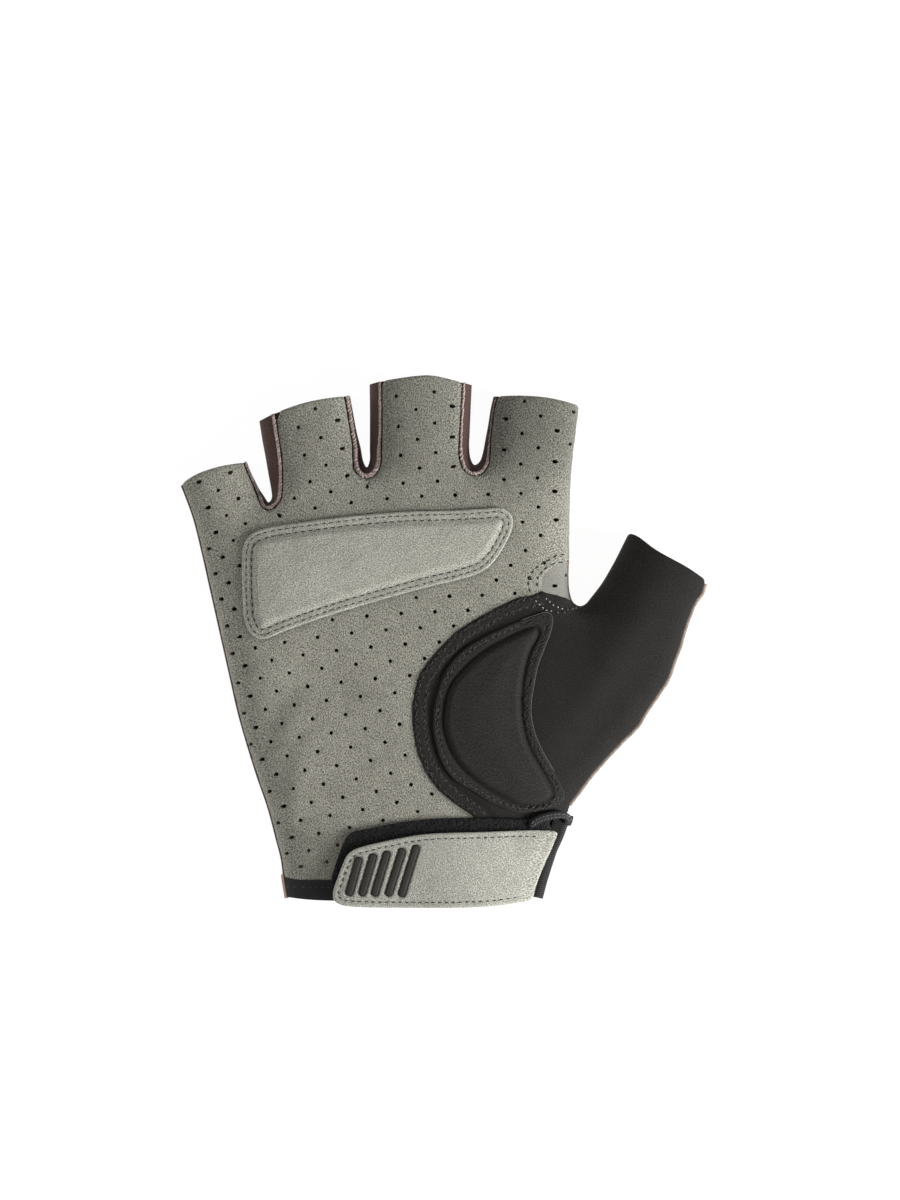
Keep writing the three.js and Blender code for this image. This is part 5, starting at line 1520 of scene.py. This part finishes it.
# ---------------------------------------------------------------- strap
STRAP_TOP = 3.05
strap_row = inset_loop(strap_line, 1.55, step=0.5)
strap_marks = row_points(strap_row, 1.95, closed=True)
bar_lines = []
for x0, y0, x1, y1 in BARS:
    a, c = place([(x0, y0)])[0], place([(x1, y1)])[0]
    t = unit(c - a)
    s = np.array([-t[1], t[0]])
    r = BAR_WIDTH / 2
    arc = np.linspace(0, math.pi, 9)
    top = a + t * r
    end = c - t * r
    loop_pts = np.concatenate([top + r * (np.cos(arc)[:, None] * s - np.sin(arc)[:, None] * t), end + r * (-np.cos(arc)[:, None] * s + np.sin(arc)[:, None] * t)])
    bar_lines.append(resample(chart(loop_pts), step=0.35, closed=True))


def strap_outer(p, e):
    h = STRAP_TOP + rim_round(e, 0.45, 0.4) - 0.16 * np.exp(-((e - 1.55) / 0.5) ** 2) + dimples(p, strap_marks, 0.14, 0.36)
    for line in bar_lines:
        d = nearest(p, *loop_segments(line))[0]
        d = np.where(inside(p, line), -d, d)
        h = h - 0.5 * (1 - smoothstep(d, 0.0, 0.42))
    return h


# the strap's shade: a painted highlight along its edge, painted shade that varies along its length, and a painted
# shadow ring around each rubber bar
def strap_shade(p, e):
    s = 1.0 + 0.16 * np.exp(-(e / 0.35) ** 2)
    s = s * np.interp(p[:, 0] / UNIT + PLAN_X, [400, 425, 450, 480, 505, 520, 540], [0.88, 0.80, 0.87, 0.96, 0.96, 0.84, 0.76])
    for line in bar_lines:
        d = nearest(p, *loop_segments(line))[0]
        s = s * (1 - 0.6 * np.exp(-(d / 0.28) ** 2))
    return s


strap = panel("strap_suede", strap_line, lift_top, strap_outer, lambda p, e: np.full(len(p), 1.75), "suede_strap", spacing=0.5,
              extra=np.concatenate([strap_marks] + bar_lines), shade=strap_shade)
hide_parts("strap")
along = strap_row / UNIT + [PLAN_X, 0]
along[:, 1] = PLAN_Y - strap_row[:, 1] / UNIT
shown = along[:, 0] < 536 - (along[:, 1] - 828) * 0.31
start = int(np.argmax(shown & ~np.roll(shown, 1)))
open_row = np.roll(strap_row, -start, axis=0)[np.roll(shown, -start)]
th = Threads()
th.row(open_row, lift_top, lambda p: np.full(len(p), STRAP_TOP - 0.14), pitch=1.8, length=1.1, r=0.155, lift_mid=0.08)
ob = th.make("strap_stitches", "thread_dark")
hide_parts("strap")
for k, line in enumerate(bar_lines):
    def bar_outer(p, e):
        return STRAP_TOP + 0.24 - 0.3 * np.clip(1 - e / 0.3, 0, 1) ** 2 + rough(p, 0.04, 3.9, 1.7)

    # painted shade along each bar's edge
    bar = panel(f"strap_bar_{k + 1}_rubber", line, lift_top, bar_outer, lambda p, e: np.full(len(p), STRAP_TOP - 0.5), "rubber", spacing=0.34,
                edge_rows=(0.12, 0.3), step=0.35, shade=lambda p, e: 1 - 0.6 * np.exp(-(e / 0.18) ** 2))
    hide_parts(f"strap_bar_{k + 1}")

# ---------------------------------------------------------------- folded tape at the wrist
sel = right_q[:, 1] < place([(0, 820)])[0, 1]
vs = np.linspace(-2.6, 4.2, 35)
grid = np.stack([rolled(right_q[sel], right_n[sel], np.full(sel.sum(), v)) for v in vs], 1)
down = np.linspace(0, 1, sel.sum())[:, None]
fold = 0.45 * np.exp(-((vs - 3.75) / 0.33) ** 2) - 0.50 * np.exp(-((vs - 3.1) / 0.28) ** 2) + 0.30 * np.exp(-((vs - 1.6) / 0.9) ** 2)
lift_off = np.interp(vs, [-2.6, -1.2, 0, 1.3, 3.0, 3.8, 4.2], [0.7, 1.25, 1.5, 1.75, 1.75, 1.7, 1.5])[None] + fold[None] * smoothstep(down, 0.25, 0.55)
lift_off = np.maximum(lift_off - 0.85 * (1 - smoothstep(down, 0.25, 0.55)) * smoothstep(vs, 1.8, 2.6)[None], 0.7)
# painted light and shade on the folded tape: a lighter band along its outer face, a painted highlight on the outer
# fold's crest, a painted shadow in the groove between the folds, and a dark painted shadow on its inner side at the
# top, in the hollow by the strap
tone_with_painted_light_and_shade = 1.0 + (0.5 * np.exp(-((vs - 1.2) / 1.0) ** 2))[None] * (1 - 0.6 * smoothstep(down, 0.35, 0.6)) + 0.5 * np.exp(-((vs - 3.75) / 0.3) ** 2)[None] * smoothstep(down, 0.4, 0.6)
tone_with_painted_light_and_shade = tone_with_painted_light_and_shade * (1 - 0.85 * np.exp(-((vs - 3.1) / 0.26) ** 2)[None] * smoothstep(down, 0.25, 0.5)) * (1 - 0.85 * smoothstep(vs, 1.9, 2.6)[None] * (1 - smoothstep(down, 0.25, 0.5)))
tape = strip("wrist_tape_side_band", grid, lift_off, lift_off - 0.55, "tape", shade=tone_with_painted_light_and_shade)
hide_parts("wrist_tape_side")
across = np.linspace(-1.0, 1.0, 9)
path = resample(spline(place(ARCH_PATH)), step=0.25)
t = unit(np.gradient(path, axis=0))
side = np.stack([-t[:, 1], t[:, 0]], 1)
half = np.interp(np.linspace(0, 1, len(path)), [0, 0.12, 0.8, 1.0], [0.55, 1.05, 1.05, 0.75])[:, None]
arch_plan = np.stack([path - side * half * v for v in across], 1)
mid_line = chart(path)
grid = lift_top(chart(arch_plan.reshape(-1, 2))).reshape(*arch_plan.shape[:2], 3)
height = np.repeat((2.62 - 0.5 * np.abs(across) ** 3)[None], len(path), 0)
# the arch band's colour is raised 1.5 times along its middle and darkens towards both edges: painted light and shade
# over its rounded section
arch = strip("wrist_tape_arch_band", grid, height, height - 0.75, "tape", shade=np.repeat((1.5 - 0.6 * np.abs(across) ** 2)[None], len(path), 0))
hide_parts("wrist_tape_arch")
# the tape is cut to its length and width where it lies, above the patch below it
lying = grid + grid_normals(grid) * 2.25
long = np.linalg.norm(np.diff(lying, axis=0), axis=2).sum(0).mean()
wide = np.linalg.norm(np.diff(lying, axis=1), axis=2).sum(1).mean()
arch["flat_size_mm"], arch["flat_area_mm2"] = [float(long), float(wide)], float(long * wide)
th = Threads()
for off_mid in (-0.45, 0.35):
    line = chart(path + side * off_mid)
    b, nb = frames(line, lift_top)
    for i in range(4, len(line) - 5, 4):
        th.stitch(b[i] + nb[i] * 2.66, b[i + 3] + nb[i + 3] * 2.66 + (b[i + 3] - b[i]) * 0.1 + np.cross(nb[i], unit(b[i + 3] - b[i])) * 0.22, nb[i], nb[i + 3], 0.09, lift_mid=0.04, sink=0.1, sides=5)
ob = th.make("wrist_tape_arch_stitches", "thread_tape")
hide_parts("wrist_tape_arch")

# ---------------------------------------------------------------- floor, light and camera
def floor():
    n = Nodes("floor")
    v = n.space((1, 1, 1))
    f = n.noise(v, 3.0, 2.0, 0.5)
    n.bsdf.inputs["Roughness"].default_value = 0.9
    n.bsdf.inputs["Specular IOR Level"].default_value = 0.1
    n.link(n.mix(n.span(f, 0.3, 0.7), (0.10, 0.10, 0.0997), (0.11, 0.11, 0.1097)), n.bsdf.inputs["Base Color"])
    n.bsdf.inputs["Emission Color"].default_value = (1.0, 1.0, 1.0, 1.0)
    n.bsdf.inputs["Emission Strength"].default_value = 0.955
    me = bpy.data.meshes.new("floor")
    s = 6.0
    me.from_pydata([(-s, -s, -0.0001), (s, -s, -0.0001), (s, s, -0.0001), (-s, s, -0.0001)], [], [(0, 1, 2, 3)])
    me.materials.append(n.mat)
    ob = bpy.data.objects.new("floor", me)
    bpy.context.scene.collection.objects.link(ob)


floor()
world = bpy.data.worlds.new("studio")
world.use_nodes = True
bg = world.node_tree.nodes["Background"]
bg.inputs[0].default_value = (1.0, 1.0, 1.0, 1.0)
bg.inputs[1].default_value = 0.18
bpy.context.scene.world = world


def area_light(name, place_m, aim, size, watts, color=(1, 1, 1)):
    data = bpy.data.lights.new(name, "AREA")
    data.shape = "DISK"
    data.size = size
    data.energy = watts
    data.color = color
    ob = bpy.data.objects.new(name, data)
    ob.location = place_m
    ob.rotation_euler = (Vector(aim) - Vector(place_m)).to_track_quat("-Z", "Y").to_euler()
    bpy.context.scene.collection.objects.link(ob)
    return ob


area_light("key", (1.738, -0.565, 0.813), (0, 0, 0), 1.0, 82.0)
area_light("fill", (-1.7, 0.3, 0.55), (0, 0, 0), 1.2, 17.0)
area_light("top", (0.1, -0.1, 2.0), (0, 0, 0), 1.4, 3.0)

cam_data = bpy.data.cameras.new("camera")
cam_data.sensor_width = 36.0
cam_data.lens = 269.8
cam_data.clip_start = 0.05
cam_data.clip_end = 20.0
cam = bpy.data.objects.new("camera", cam_data)
cam.location = (0.001665, 0.011463, 2.5075)
cam.rotation_euler = (0, 0, 0)
bpy.context.scene.collection.objects.link(cam)
bpy.context.scene.camera = cam
bpy.context.scene.view_settings.view_transform = "Standard"
